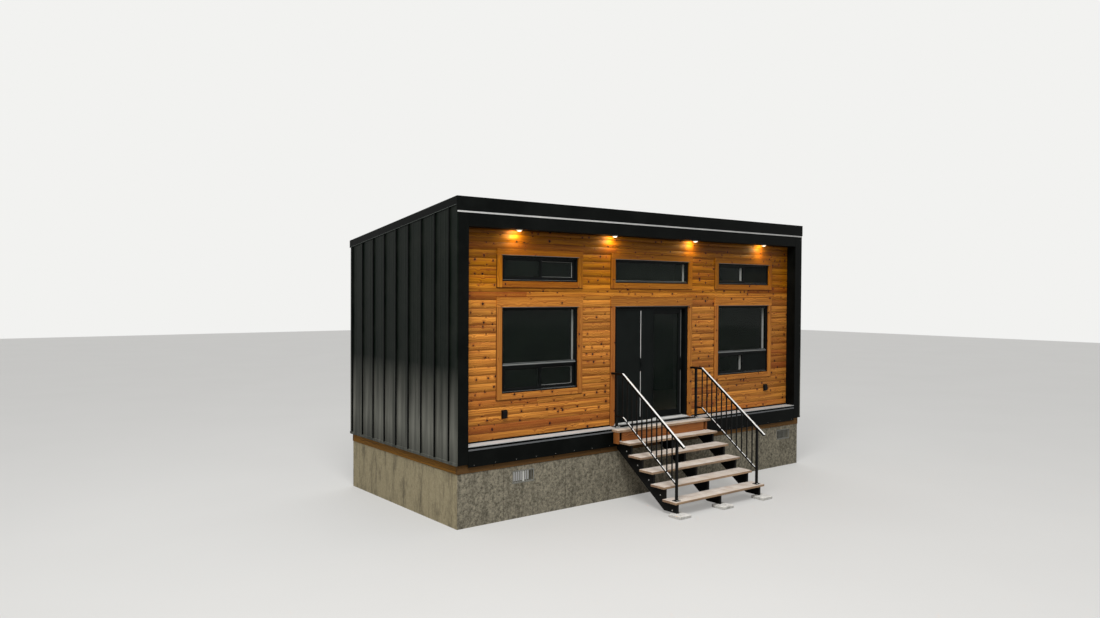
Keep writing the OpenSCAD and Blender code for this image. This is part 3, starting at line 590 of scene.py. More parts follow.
# The strip along the beam's top, painted grey
grey_flashing = coated_steel("baked_paint_steel_grey", "#696B6D", "#808284", 0.5, 0.2, dust_share=0.4)
# Galvanised vents, dull grey zinc with white bloom
galvanised = coated_steel("galvanised_steel", "#7D7C74", "#A5A399", 0.6, 0.3, dust_share=0.4)
# Black aluminium window frames with a satin powder coat; a painted highlight of the sky lies on what looks up
frame_coat = fine_grained("powder_coated_aluminium", "#080A0A", "#141717", 0.38, 0.07,
                          film=((0, 0, 1), 0.60, 0.66, "#7B7E7D", 0.85))
# The same coat on the door, without the painted highlight
leaf_coat = fine_grained("clean_powder_coated_aluminium", "#0A0D0D", "#151919", 0.38, 0.07)
# Powder-coated steel railings: near black, with a painted highlight of the sky along their sloping tops
rail_coat = fine_grained("powder_coated_steel_painted_highlight", "#0B0C0C", "#151616", 0.4, 0.12, scale=500.0,
                         film=((0, -0.593, 0.805), 0.93, 0.985, "#F1F0EC", 1.0))
# Stringers of timber under thick black paint: low sheen with brush marks
stringer_paint = fine_grained("black_painted_timber", "#0C0D0D", "#1E1D1B", 0.55, 0.1, scale=160.0, bump=0.4)
# Glazing and sliding-track gaskets of black rubber
rubber = fine_grained("epdm_rubber", "#050505", "#0D0D0D", 0.8, 0.05)
# Thin brown strips round the casings, matt: painted shadow lines at the casings' edges
shadow_line_brown = fine_grained("painted_shadow_brown", "#3A2412", "#2A190D", 0.7, 0.1, scale=300.0)
# Insect screen of woven grey fibreglass yarn; its weave is drawn at 12 mm, coarser than the real 1.4 mm,
# to show
screen_mesh = fine_grained("woven_fibreglass_mesh", "#191C1B", "#202423", 0.9, 0.05, scale=85.0, bump=0.3)
# Moulded black outlet covers, fine texture
outlet_plastic = fine_grained("moulded_polycarbonate_black", "#0C0B0B", "#1B1918", 0.5, 0.1)
# Aluminium strips on the door, dulled by weather
dull_aluminium = fine_grained("dulled_aluminium", "#6E706F", "#858786", 0.6, 0.2)
# Zinc-plated screws and bolts, dull silver
zinc = fine_grained("zinc_plated_steel", "#C4C2BC", "#8F8C86", 0.55, metallic=0.4)
# White enamelled light rims
white_enamel = fine_grained("white_enamel", "#D9D6CF", "#C9C4BA", 0.35)
# White vinyl inner frames behind the glass, satin
white_vinyl = fine_grained("white_vinyl", "#E6E6E0", "#DADAD4", 0.45, 0.3)
# Plywood lining inside, made dark: painted shade for the unlit room
lining_wood = fine_grained("plywood_lining_painted_dark", "#33312B", "#2A2823", 0.6, 0.1, scale=200.0)
# Floor of plywood sheathing, its edges and underside
plywood = fine_grained("plywood_sheathing", "#4C3F2E", "#3E3325", 0.8, 0.1, scale=200.0)
# Stem wall of site-cast concrete: tan grey, closely mottled, with darker specks and form joints, and paler
# on the side that faces left: painted light
stem_concrete = cast_concrete("site_cast_concrete", "#ABA38E", "#524D42", "#3C382E", joints=1.22,
                              painted_lit_side=((-1, 0, 0), 0.4, 0.9, "#C3B38D", 0.62))
# Pads of precast concrete, paler and closer
paver_concrete = cast_concrete("precast_concrete", "#EFEDE7", "#CFCCC5", "#9E9B94")


def insulated_glass():
    """Double glazing with a green-grey tint: clear, dark, weak reflections, a thin film of dust."""
    material, tree, shader = surface("tinted_float_glass", 0.02, specular=0.4)
    place = node(tree, "TexCoord").outputs["Object"]
    film = node(tree, "TexNoise", place, Scale=3.0, Detail=5.0)
    share = node(tree, "MapRange", film, 0.4, 0.8)
    base = node(tree, "Mix", share, "#17241E", "#2C3A31", data_type="RGBA")
    fill(tree, shader, Base_Color=base, Alpha=0.16)
    return material


def lit_lens():
    """A warm light-emitting lens behind frosted acrylic."""
    material, tree, shader = surface("frosted_acrylic_lens", 0.6)
    place = node(tree, "TexCoord").outputs["Object"]
    frost = node(tree, "TexNoise", place, Scale=400.0)
    warm = node(tree, "Mix", frost, "#FFE9D2", "#FFD9B4", data_type="RGBA")
    fill(tree, shader, Base_Color=warm, Emission_Color=warm, Emission_Strength=5.0)
    return material


glass = insulated_glass()
lens = lit_lens()

# Front wall: cedar courses with the openings cut out

OPENINGS = [(x0, x1, WIN_Z, HEAD_Z) for x0, x1 in (WIN_L, WIN_R)]
OPENINGS += [(x0, x1, TRAN_Z[0], TRAN_Z[1]) for x0, x1 in TRAN_SPANS]
OPENINGS += [(DOOR[0], DOOR[1], LEDGE - 1, HEAD_Z)]
LEAST_STRIP = 0.004


def course_pieces(z0, z1):
    """The spans of one course that no opening cuts away, as x0, x1, z0 and z1."""
    cuts = sorted({FIN_IN_L, FIN_IN_R} | {x for o in OPENINGS if o[2] < z1 and o[3] > z0 for x in o[:2]})
    spans = []
    for a, b in zip(cuts, cuts[1:]):
        low, high = z0, z1
        for x0, x1, za, zb in OPENINGS:
            if x0 <= a and b <= x1 and za < z1 and zb > z0:
                if za <= z0 and zb >= z1:
                    low = high
                elif za <= z0:
                    low = max(low, zb)
                else:
                    high = min(high, za)
        if high - low < LEAST_STRIP:
            continue
        if spans and abs(spans[-1][1] - a) < 1e-6 and spans[-1][2:] == (low, high):
            spans[-1] = (spans[-1][0], b, low, high)
        else:
            spans.append((a, b, low, high))
    return spans


def siding_spots():
    """A spot for each board of each course, with its ends at random joints."""
    dice = random.Random(11)
    spots, level, row = [], LEDGE, 0
    while level < SOFFIT - LEAST_STRIP:
        top = min(level + COURSE, SOFFIT)
        joint = FIN_IN_L + dice.uniform(1.2, 3.6)
        joints = []
        while joint < FIN_IN_R - 0.8:
            joints.append(joint)
            joint += dice.uniform(2.4, 4.3)
        for x0, x1, z0, z1 in course_pieces(level, top):
            ends = [x0] + [j for j in joints if x0 + 0.25 < j < x1 - 0.25] + [x1]
            for a, b in zip(ends, ends[1:]):
                number = row * 10 + sum(j <= a + 1e-6 for j in joints)
                spots.append(((a + 0.0006, (BOARDS + CORE) / 2, (z0 + z1) / 2), FACE_UP,
                              (b - a - 0.0012, 1, (z1 - z0) / COURSE), number))
        level, row = top, row + 1
    return spots


bars("cedar_siding", siding_spots(), COURSE - 0.0004, CORE - BOARDS, 0.002, 23, cedar_boards,
     replaces=["front_siding"])

# Casings round the openings

shadow_lines = Stock()


def casing(stock, x0, x1, z0, z1, head, sill=True):
    """Side boards, a head board over them and a sill board between them, with thin brown strips round them as
    painted shadow lines.
    Without a sill they stand on the ledge."""
    deep, proud = (BOARDS - TRIM_T, BOARDS), (BOARDS - 0.0035, BOARDS + 0.002)
    foot = z0 - TRIM_W if sill else LEDGE + 0.002
    out0, out1 = x0 - TRIM_W, x1 + TRIM_W
    # Painted shadow lines along the casing's outer edges
    for x in (out0, out1):
        plank(shadow_lines, about(x, 0.007), proud, (foot - 0.006, z1), 2, 0.001)
    plank(shadow_lines, (out0 - 0.010, out1 + 0.010), proud, (z1 + head - 0.004, z1 + head + 0.006), 0, 0.001)
    if sill:
        plank(shadow_lines, (out0 - 0.007, out1 + 0.007), proud, (foot - 0.008, foot + 0.004), 0, 0.001)
    plank(stock, (out0, x0), deep, (foot, z1), 2, 0.0025)
    plank(stock, (x1, out1), deep, (foot, z1), 2, 0.0025)
    plank(stock, (out0 - 0.004, out1 + 0.004), (deep[0] - 0.002, deep[1]), (z1 + 0.001, z1 + head), 0, 0.0025)
    if sill:
        plank(stock, (x0 + 0.001, x1 - 0.001), deep, (foot, z0), 0, 0.0025)


for side, (x0, x1), seed in (("left", WIN_L, 3), ("right", WIN_R, 5), ("door", DOOR, 8)):
    stock = Stock(seed)
    casing(stock, x0, x1, WIN_Z, HEAD_Z, HEAD_TRIM, sill=side != "door")
    casing(stock, x0, x1, *TRAN_Z, TRIM_W)
    make(side + "_casings", stock, cedar_casing, replaces=[side + "_trims"])
make("casing_painted_shadow_lines", shadow_lines, shadow_line_brown)

# A black strip under the lowest course, where the boards meet the ledge: a painted shadow line
starter = Stock()
for x0, x1 in ((FIN_IN_L, DOOR[0] - TRIM_W), (DOOR[1] + TRIM_W, FIN_IN_R)):
    plank(starter, (x0 + 0.001, x1 - 0.001), (BOARDS - 0.003, BOARDS + 0.001), (LEDGE, LEDGE + 0.024), 0,
          0.0008)
make("painted_shadow_foot_strip", starter, black_steel)

# Windows and transoms: their profiles are loops of inset and depth

OUTER = [(0.001, 0.0), (0.022, 0.0), (0.025, 0.003), (0.025, 0.010), (0.032, 0.014), (0.032, 0.070),
         (0.0, 0.070), (0.0, 0.001)]
BEAD = [(0.0, 0.002), (0.008, 0.002), (0.013, 0.008), (0.013, 0.016), (0.0, 0.016)]
GASKET = [(0.0125, 0.009), (0.0165, 0.011), (0.0165, 0.016), (0.0125, 0.016)]
SASH = [(0.0, 0.001), (0.001, 0.0), (0.030, 0.0), (0.036, 0.003), (0.045, 0.009), (0.045, 0.029),
        (0.0, 0.029)]
SASH_GASKET = [(0.0445, 0.0085), (0.048, 0.010), (0.048, 0.020), (0.0445, 0.020)]
INNER_BEAD = [(0.044, 0.020), (0.049, 0.020), (0.051, 0.022), (0.051, 0.028), (0.044, 0.028)]
LINER = [(0.025, 0.080), (0.029, 0.080), (0.030, 0.081), (0.030, 0.121), (0.029, 0.122), (0.025, 0.122)]
SCREEN_EDGE = [(0.0, 0.001), (0.001, 0.0), (0.013, 0.0), (0.014, 0.001), (0.014, 0.008), (0.0, 0.008)]
SASH_Y = FRAME_Y + 0.005
TRACK = 0.030           # from the outer sashes to the inner ones
IN_FRAME = 0.031        # from a frame's edge to its sashes
IN_LIGHT = 0.032        # from a frame's edge to a fixed light
LAP = 0.0225            # how far each of two sashes passes the middle
LOW_TOP = WIN_Z + IN_LIGHT + 0.375
# The foot and head of the sliding sashes, in the windows and in the transoms
SLIDERS = [(WIN_Z + IN_FRAME, LOW_TOP + 0.001), (TRAN_Z[0] + IN_FRAME, TRAN_Z[1] - IN_FRAME)]


def fixed_light(frames, gaskets, x0, x1, z0, z1):
    """A bead and a gasket round a fixed pane."""
    ring(frames, x0, x1, z0, z1, SASH_Y + 0.010, BEAD)
    ring(gaskets, x0, x1, z0, z1, SASH_Y + 0.010, GASKET)


def slider(frames, gaskets, x0, x1, z0, z1):
    """Two sashes on two tracks that lap at the middle."""
    middle = (x0 + x1) / 2
    for a, b, y in ((x0 + IN_FRAME, middle + LAP, SASH_Y), (middle - LAP, x1 - IN_FRAME, SASH_Y + TRACK)):
        ring(frames, a, b, z0, z1, y, SASH)
        ring(gaskets, a, b, z0, z1, y, SASH_GASKET)


def window(name, x0, x1):
    """A fixed light over a two-pane slider, with beads, gaskets, weep slots and a latch."""
    frames, gaskets = Stock(), Stock()
    middle, bar = (x0 + x1) / 2, LOW_TOP + 0.045
    ring(frames, x0, x1, WIN_Z, HEAD_Z, FRAME_Y, OUTER)
    run(frames, [(FRAME_Y + 0.003, LOW_TOP), (FRAME_Y + 0.068, LOW_TOP), (FRAME_Y + 0.068, bar),
                 (FRAME_Y + 0.024, bar), (FRAME_Y + 0.003, LOW_TOP + 0.022)],
        along_x(x0 + IN_FRAME, x1 - IN_FRAME))
    fixed_light(frames, gaskets, x0 + IN_LIGHT, x1 - IN_LIGHT, bar, HEAD_Z - IN_LIGHT)
    slider(frames, gaskets, x0, x1, *SLIDERS[0])
    for x in (x0 + 0.18, x1 - 0.18):
        plank(gaskets, about(x, 0.016), (FRAME_Y - 0.0008, FRAME_Y + 0.002), (WIN_Z + 0.008, WIN_Z + 0.014),
              0, 0.0006)
    plank(frames, (middle - 0.012, middle + 0.010), (SASH_Y - 0.008, SASH_Y), (WIN_Z + 0.17, WIN_Z + 0.25),
          2, 0.003)
    make(name + "_frame", frames, frame_coat, replaces=[name])
    make(name + "_gaskets", gaskets, rubber)


window("window_left", *WIN_L)
window("window_right", *WIN_R)

frames, gaskets = Stock(), Stock()
for x0, x1 in TRAN_SPANS:
    ring(frames, x0, x1, *TRAN_Z, FRAME_Y, OUTER)
    if (x0, x1) == DOOR:
        fixed_light(frames, gaskets, x0 + IN_LIGHT, x1 - IN_LIGHT, TRAN_Z[0] + IN_LIGHT, TRAN_Z[1] - IN_LIGHT)
    else:
        slider(frames, gaskets, x0, x1, *SLIDERS[1])
make("transom_frames", frames, frame_coat, replaces=["transoms"])
make("transom_gaskets", gaskets, rubber)

# White inner frames, and the screens of the right-hand sliders
inner, screens, screen_edges = Stock(), Stock(), Stock()
for x0, x1 in (WIN_L, WIN_R):
    ring(inner, x0, x1, WIN_Z, HEAD_Z, FRAME_Y, LINER)
for x0, x1 in TRAN_SPANS:
    ring(inner, x0, x1, *TRAN_Z, FRAME_Y, LINER)
for z0, z1 in SLIDERS:
    # On the left pair the rear sash's bead shows all round; on the right pair the white inside of its stile
    # shows through the left pane, and the insect screen in the outer track darkens the right pane
    ring(inner, sum(WIN_L) / 2 - LAP, WIN_L[1] - IN_FRAME, z0, z1, SASH_Y + TRACK, INNER_BEAD)
    middle, side = sum(WIN_R) / 2, WIN_R[1] - IN_FRAME
    plank(inner, (middle - 0.0245, middle - 0.0220), (SASH_Y + 0.032, SASH_Y + 0.078),
          (z0 + 0.040, z1 - 0.040), 2, 0.0005)
    ring(screen_edges, middle + 0.0235, side - 0.001, z0 + 0.002, z1 - 0.002, SASH_Y + 0.010, SCREEN_EDGE)
    plank(screens, (middle + 0.030, side - 0.008), (SASH_Y + 0.013, SASH_Y + 0.0145),
          (z0 + 0.008, z1 - 0.008), 0, 0.0003)
make("slider_screen_frames", screen_edges, frame_coat)
make("slider_screens", screens, screen_mesh)
make("inner_frames", inner, white_vinyl)

# Drip flashings over the openings
drips = Stock()
for z in (HEAD_Z, TRAN_Z[1]):
    for x0, x1 in TRAN_SPANS:
        run(drips, [(BOARDS - 0.026, z - 0.004), (BOARDS - 0.024, z - 0.004), (BOARDS - 0.023, z - 0.001),
                    (BOARDS + 0.004, z - 0.0005), (BOARDS + 0.004, z + 0.001), (BOARDS - 0.026, z + 0.002)],
            along_x(x0 - 0.010, x1 + 0.010))
make("head_flashings", drips, dull_aluminium)

# Glass

FIXED_IN, FIXED_Y = 0.040, SASH_Y + 0.030    # a fixed pane, from its frame's edge and in depth
SASH_IN, PANE_Y = 0.072, SASH_Y + 0.016      # a front sash's pane, likewise


def pane(stock, x0, x1, z0, z1, y):
    """A double pane, 6 mm thick over all."""
    plank(stock, (x0, x1), about(y, 0.003), (z0, z1), 0, 0.0008)


def slider_panes(stock, x0, x1, z0, z1):
    """The panes of two sashes, one on each track."""
    middle = (x0 + x1) / 2
    pane(stock, x0 + SASH_IN, middle - 0.018, z0, z1, PANE_Y)
    pane(stock, middle + 0.018, x1 - SASH_IN, z0, z1, PANE_Y + TRACK)


panes = Stock()
for x0, x1 in (WIN_L, WIN_R):
    pane(panes, x0 + FIXED_IN, x1 - FIXED_IN, LOW_TOP + 0.053, HEAD_Z - FIXED_IN, FIXED_Y)
    slider_panes(panes, x0, x1, WIN_Z + SASH_IN, LOW_TOP - 0.040)
    slider_panes(panes, x0, x1, TRAN_Z[0] + SASH_IN, TRAN_Z[1] - SASH_IN)
pane(panes, DOOR[0] + FIXED_IN, DOOR[1] - FIXED_IN, TRAN_Z[0] + FIXED_IN, TRAN_Z[1] - FIXED_IN, FIXED_Y)

# Patio door

FIXED, SLIDE = BOX["door_fixed_panel"], BOX["door_sliding_panel"]
PANEL = [(0.0, 0.002), (0.002, 0.0), (0.076, 0.0), (0.083, 0.003), (0.092, 0.010), (0.092, 0.033),
         (0.090, 0.035), (0.002, 0.035), (0.0, 0.033)]
PANEL_GASKET = [(0.0915, 0.0095), (0.096, 0.011), (0.096, 0.026), (0.0915, 0.026)]


def leaf_pane(stock, box, foot):
    """The pane in a leaf's frame."""
    pane(stock, box[0].x + 0.085, box[1].x - 0.085, box[0].z + foot, box[1].z - 0.085, box[0].y + 0.0175)


def door_leaf(name, box, body, node_name):
    """A glazed leaf: stiles, head and a taller bottom rail, with its gaskets."""
    (x0, y, z0), (x1, _, z1) = box
    leaf, gaskets = Stock(), Stock()
    ring(leaf, x0, x1, z0, z1, y, PANEL)
    plank(leaf, (x0 + 0.088, x1 - 0.088), (y + 0.004, y + 0.031), (z0 + 0.088, z0 + 0.112), 0, 0.003)
    ring(gaskets, x0, x1, z0 + 0.018, z1, y, PANEL_GASKET)
    for z in (z0 + 0.03, z0 + 0.085):
        plank(leaf, (x0 + 0.094, x1 - 0.094), (y - 0.001, y + 0.002), (z, z + 0.003), 0, 0.0008)
    make(name + "_frame", leaf, leaf_coat, body, [node_name])
    make(name + "_gaskets", gaskets, rubber, body)


leaf_pane(panes, FIXED, 0.110)
make("window_panes", panes, glass, replaces=["window_glass"])
door_leaf("fixed_leaf", FIXED, "house", "door_fixed_panel")
door_leaf("sliding_leaf", SLIDE, "sliding_door", "door_sliding_panel")
moving_pane = Stock()
leaf_pane(moving_pane, SLIDE, 0.104)
make("sliding_leaf_glass", moving_pane, glass, "sliding_door", ["door_sliding_glass"])

# The insect screen parked over the fixed leaf: a thin frame, mesh, a light interlock strip and a dark latch
screen_frame, screen, strips, latches = Stock(), Stock(), Stock(), Stock()
SCREEN_Y = FIXED[0].y - 0.015
THIN = [(0.0, 0.0), (0.020, 0.0), (0.024, 0.003), (0.024, 0.012), (0.0, 0.012)]
ring(screen_frame, FIXED[0].x, FIXED[1].x - 0.030, FIXED[0].z, FIXED[1].z, SCREEN_Y, THIN)
screen_y, screen_z = (SCREEN_Y + 0.005, SCREEN_Y + 0.0065), (FIXED[0].z + 0.020, FIXED[1].z - 0.020)
run(screen, [(screen_y[0], screen_z[0]), (screen_y[1], screen_z[0]), (screen_y[1], screen_z[1]),
             (screen_y[0], screen_z[1])], along_x(FIXED[0].x + 0.020, FIXED[1].x - 0.050))
STRIP_X = (FIXED[0].x + FIXED[1].x) / 2 + 0.128
plank(strips, about(STRIP_X, 0.0055), (SCREEN_Y - 0.002, SCREEN_Y + 0.0055),
      (FIXED[0].z + 0.060, FIXED[1].z - 0.036), 2, 0.0015)
plank(latches, about(STRIP_X, 0.017), (SCREEN_Y - 0.010, SCREEN_Y + 0.001), (2.115, 2.345), 2, 0.003)
plank(latches, about(STRIP_X, 0.006), (SCREEN_Y - 0.022, SCREEN_Y - 0.008), (2.190, 2.270), 2, 0.002)
make("screen_frame", screen_frame, leaf_coat)
make("screen_mesh", screen, screen_mesh)
make("screen_strip", strips, pale_flashing)
make("screen_latch", latches, leaf_coat)
lock_strip = Stock()
plank(lock_strip, (SLIDE[1].x - 0.034, SLIDE[1].x - 0.022), (SLIDE[0].y - 0.001, SLIDE[0].y + 0.003),
      (SLIDE[0].z + 0.020, SLIDE[1].z - 0.020), 2, 0.0008)
make("lock_edge_strip", lock_strip, dull_aluminium, "sliding_door")

# The door's frame, and its sill with one track for the sliding leaf
JAMB = [(0.0, 0.0), (0.030, 0.0), (0.034, 0.003), (0.034, 0.012), (0.045, 0.016), (0.045, 0.110),
        (0.0, 0.110)]
door_frame, sill = Stock(), Stock()
x0, x1 = DOOR
for near, way in ((x0, 1), (x1, -1)):
    run(door_frame, JAMB,
        lambda u, v, end: (near + way * u, FRAME_Y + v, (FLOOR + 0.001, HEAD_Z - u)[end]), 2)
run(door_frame, JAMB, lambda u, v, end: ((x0 + u, x1 - u)[end], FRAME_Y + v, HEAD_Z - u))
make("door_frame_jambs", door_frame, leaf_coat, replaces=["door_frame"])
SILL_TOP, TRACK_FOOT = FLOOR + 0.028, FLOOR + 0.028 - 0.008
run(sill, [(FRAME_Y - 0.020, FLOOR), (FRAME_Y + 0.110, FLOOR), (FRAME_Y + 0.110, SILL_TOP),
           (SLIDE[1].y + 0.006, SILL_TOP), (SLIDE[1].y + 0.005, TRACK_FOOT), (SLIDE[0].y + 0.022, TRACK_FOOT),
           (SLIDE[0].y + 0.020, SILL_TOP + 0.003), (SLIDE[0].y + 0.015, SILL_TOP + 0.003),
           (SLIDE[0].y + 0.013, TRACK_FOOT), (SLIDE[0].y - 0.003, TRACK_FOOT), (SLIDE[0].y - 0.005, SILL_TOP),
           (FRAME_Y + 0.012, SILL_TOP), (FRAME_Y - 0.016, FLOOR + 0.012), (FRAME_Y - 0.020, FLOOR + 0.010)],
    along_x(x0 + 0.002, x1 - 0.002))
plank(sill, (x0 - 0.020, x1 + 0.020), (FRAME_Y - 0.036, FRAME_Y - 0.0205), (LEDGE, FLOOR + 0.006), 0, 0.0015)
make("door_sill", sill, pale_flashing)
# A black strip on the ledge across the doorway: a painted shadow between the sill and the landing
shadow_strip = Stock()
plank(shadow_strip, (x0 - 0.10, x1 + 0.02), (FRONT - 0.002, FRAME_Y - 0.037), (LEDGE - 0.001, LEDGE + 0.0035),
      0, 0.001)
make("doorway_painted_shadow_strip", shadow_strip, black_steel)

# The pull: a grip on two stems with a plate behind
pull = Stock()
(x0, grip_y, foot), (x1, plate_y, head) = BOX["door_handle"]
middle = (x0 + x1) / 2
run(pull, rounded(0.018, 0.012, 0.005),
    lambda u, v, end: (middle + u, grip_y + 0.006 + v, (foot + 0.002, head - 0.002)[end]), 2)
for z in (foot + 0.014, head - 0.014):
    run(pull, rounded(0.016, 0.020, 0.006),
        lambda u, v, end: (middle + u, (grip_y + 0.006, plate_y)[end], z + v), 1)
plank(pull, about(middle, 0.017), (plate_y - 0.004, plate_y), (foot - 0.015, head + 0.015), 2, 0.0025)
make("door_pull", pull, leaf_coat, "sliding_door", ["door_handle"], smooth=40)

# Standing-seam cladding: pans with two pencil ribs between seams

CORNER_PAN = 0.207       # from a corner to the first seam
SIDE_SEAMS = [FRONT + CORNER_PAN + SEAM * i for i in range(9)]
SEAM_FOOT = 0.045        # the seams stop above the starter strip
SEAM_HEAD = 0.127        # and under the roof edge's flashing
RIB = 0.0015


def rib_places(stops):
    """Where the ribs lie: at the thirds of each full pan."""
    return [a + (b - a) * share for a, b in zip(stops, stops[1:]) if b - a >= 0.3 for share in (1 / 3, 2 / 3)]


def even_seams(first, last):
    """Seams at the usual pitch, even about the house's middle."""
    count = int((last - first) // SEAM)
    start = (LEFT + RIGHT) / 2 - count * SEAM / 2
    return [start + SEAM * i for i in range(count + 1)]


def side_sheet(name, edge, out, upright, node_name):
    """A side's pans, cut to the roof's slope, with a starter strip, a corner strip and folded seams."""
    sheet = Stock()
    outline = [(SHEET, FRONT), (0.0, FRONT)]
    for y in rib_places([FRONT] + SIDE_SEAMS + [BACK]):
        outline += [(0.0, y - 0.016), (-RIB, y - 0.005), (-RIB, y + 0.005), (0.0, y + 0.016)]
    outline += [(0.0, BACK), (SHEET, BACK)]
    run(sheet, outline, lambda u, v, end: (edge - out * u, v, (BASE, deck_z(v))[end]), 2, 0)
    run(sheet, [(-0.010, FRONT - 0.001), (-0.010, BACK), (0.001, BACK), (0.001, FRONT - 0.001)],
        lambda u, v, end: (edge - out * u, v, (BASE, BASE + (0.040 if u < 0 else 0.047))[end]), 1, 0)
    run(sheet, [(-0.003, FRONT - 0.003), (-0.003, FRONT + 0.075), (0.001, FRONT + 0.075),
                (0.001, FRONT - 0.003)],
        lambda u, v, end: (edge - out * u, v, (BASE, deck_z(v) - 0.06)[end]), 2, 0)
    make(name + "_pans", sheet, seam_steel, replaces=[node_name])
    # The seams take the black flashing's finish, darker than the pans and without their streaks: painted
    # shade along the seams
    for piece, away, size in (("_seams", 0.0105, (0.027, 0.013, 0.004)),
                              ("_seam_folds", 0.0205, (0.008, 0.019, 0.003))):
        spots = [((edge + out * away, y, BASE + SEAM_FOOT), upright,
                  (edge_z(y + 0.009) - SEAM_HEAD - BASE - SEAM_FOOT, 1, 1), i)
                 for i, y in enumerate(SIDE_SEAMS) if y <= BACK - 0.02]
        bars(name + piece, spots, *size, 3, black_steel)


side_sheet("left_side", LEFT, -1, UPRIGHT_L, "left_cladding")
side_sheet("right_side", RIGHT, 1, UPRIGHT_R, "right_cladding")

back = Stock()
back_seams = even_seams(LEFT + CORNER_PAN, RIGHT - CORNER_PAN)
outline = [(LEFT + SHEET, 0.0)]
for x in rib_places(back_seams):
    outline += [(x - 0.016, 0.0), (x - 0.005, RIB), (x + 0.005, RIB), (x + 0.016, 0.0)]
outline += [(RIGHT - SHEET, 0.0), (RIGHT - SHEET, -SHEET), (LEFT + SHEET, -SHEET)]
run(back, outline, lambda u, v, end: (u, BACK + v, (BASE, deck_z(BACK + v))[end]), 2, 1)
run(back, [(LEFT + 0.002, -0.001), (RIGHT - 0.002, -0.001), (RIGHT - 0.002, 0.010), (LEFT + 0.002, 0.010)],
    lambda u, v, end: (u, BACK + v, (BASE, BASE + (0.040 if v > 0 else 0.047))[end]), 0, 1)
make("back_pans", back, seam_steel, replaces=["back_cladding"])
# Black seams, darker than the pans: painted shade along the seams
bars("back_seams", [((x, BACK + 0.0105, BASE + SEAM_FOOT), UPRIGHT_BACK,
                     (edge_z(BACK + EDGE_OUT) - SEAM_HEAD - BASE - SEAM_FOOT, 1, 1), i)
                    for i, x in enumerate(back_seams)], 0.027, 0.013, 0.004, 3, black_steel)

# Roof

roof = Stock()
y0, y1 = FRONT + 0.046, BACK - 0.046
x0, x1 = LEFT + 0.046, RIGHT - 0.046
roof_seams = even_seams(x0 + 0.103, x1 - 0.103)
PAN = 0.008
outline = [(x0, 0.0), (x1, 0.0), (x1, PAN)]
for x in reversed(rib_places(roof_seams)):
    outline += [(x + 0.016, PAN), (x + 0.005, PAN + 0.003), (x - 0.005, PAN + 0.003), (x - 0.016, PAN)]
outline += [(x0, PAN)]
run(roof, outline, lambda u, v, end: (u, (y0, y1)[end], deck_z((y0, y1)[end]) + v), 1, 2)
make("roof_pans", roof, seam_steel, replaces=["roof_cladding"])
slant = turned((0, 1, -FALL), (0, FALL, 1))
length = (y1 - y0) * math.sqrt(1 + FALL * FALL)
bars("roof_seams", [((x, y0, deck_z(y0) + PAN + 0.010), slant, (length, 1, 1), i)
                    for i, x in enumerate(roof_seams)], 0.020, 0.013, 0.004, 3, seam_steel)


def bevelled(name, node_name, width, material=black_steel):
    """A CAD node's own shape with its folds rounded, in one mesh."""
    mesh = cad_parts[node_name].data.copy()
    work = bmesh.new()
    work.from_mesh(mesh)
    bmesh.ops.remove_doubles(work, verts=work.verts, dist=1e-5)
    bmesh.ops.dissolve_limit(work, angle_limit=math.radians(1), verts=work.verts, edges=work.edges)
    sharp = [e for e in work.edges if len(e.link_faces) == 2 and e.calc_face_angle(0) > math.radians(20)]
    bmesh.ops.bevel(work, geom=sharp, offset=width, segments=2, affect="EDGES", clamp_overlap=True)
    work.to_mesh(mesh)
    work.free()
    return keep(mesh, name, material, "house", [node_name], 0)


bevelled("roof_edge_flashing", "roof_edge_trim", 0.003)
bevelled("left_fin_flashing", "left_fin", 0.003)
bevelled("right_fin_flashing", "right_fin", 0.003)
bevelled("header_flashing", "header", 0.002)
bevelled("beam_flashing", "bottom_beam", 0.002)
bevelled("pale_ledge", "ledge", 0.002, ledge_flashing)
strips = bevelled("pale_strips", "light_flashings", 0.0015, pale_flashing)
strips.data.materials.append(grey_flashing)
for face in strips.data.polygons:
    face.material_index = int(face.center.z < LEDGE)

# A folded drip hem under the roof edge's side flashings
hem = Stock()
ends = (FRONT + 0.001, BACK + 0.012)
for edge, out in ((LEFT, -1), (RIGHT, 1)):
    near, far = edge + out * 0.002, edge + out * 0.0165
    run(hem, [(near, 0.0), (far, 0.0), (far, 0.006), (near, 0.006)],
        lambda u, v, end: (u, ends[end], edge_z(ends[end]) - 0.1275 + v), 1, 2)
make("drip_hems", hem, hem_steel)

# Laps where one length of flashing covers the next
laps = Stock()
STRIPS = BOX["light_flashings"]
for x in (LEFT + 2.75, LEFT + 5.5):
    for x0, y, z0, z1 in ((x, FRONT - EDGE_OUT, STRIPS[1].z + 0.002, TOP - 0.002),
                          (x + 0.2, FRONT, BASE - 0.044, STRIPS[0].z - 0.001),
                          (x - 0.3, FRONT, SOFFIT + 0.002, STRIPS[1].z - 0.034)):
        plank(laps, (x0, x0 + 0.05), (y - 0.0012, y + 0.001), (z0, z1), 2, 0.0005)
make("flashing_laps", laps, black_steel)

# The soffit's panels
SOFFIT_PANEL = 0.305
panels = Stock()
x = FIN_IN_L
while x < FIN_IN_R - 0.01:
    far = min(x + SOFFIT_PANEL, FIN_IN_R)
    plank(panels, (x, far), (FRONT + 0.040, CORE), (SOFFIT, SOFFIT + 0.018), 1, 0.002)
    x = far
make("soffit_panels", panels, black_steel, replaces=["soffit"])

# Rim board, concrete and vents


def coat(material, *names):
    """Gives CAD nodes that stay a finish."""
    for name in names:
        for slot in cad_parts[name].material_slots:
            slot.material = material


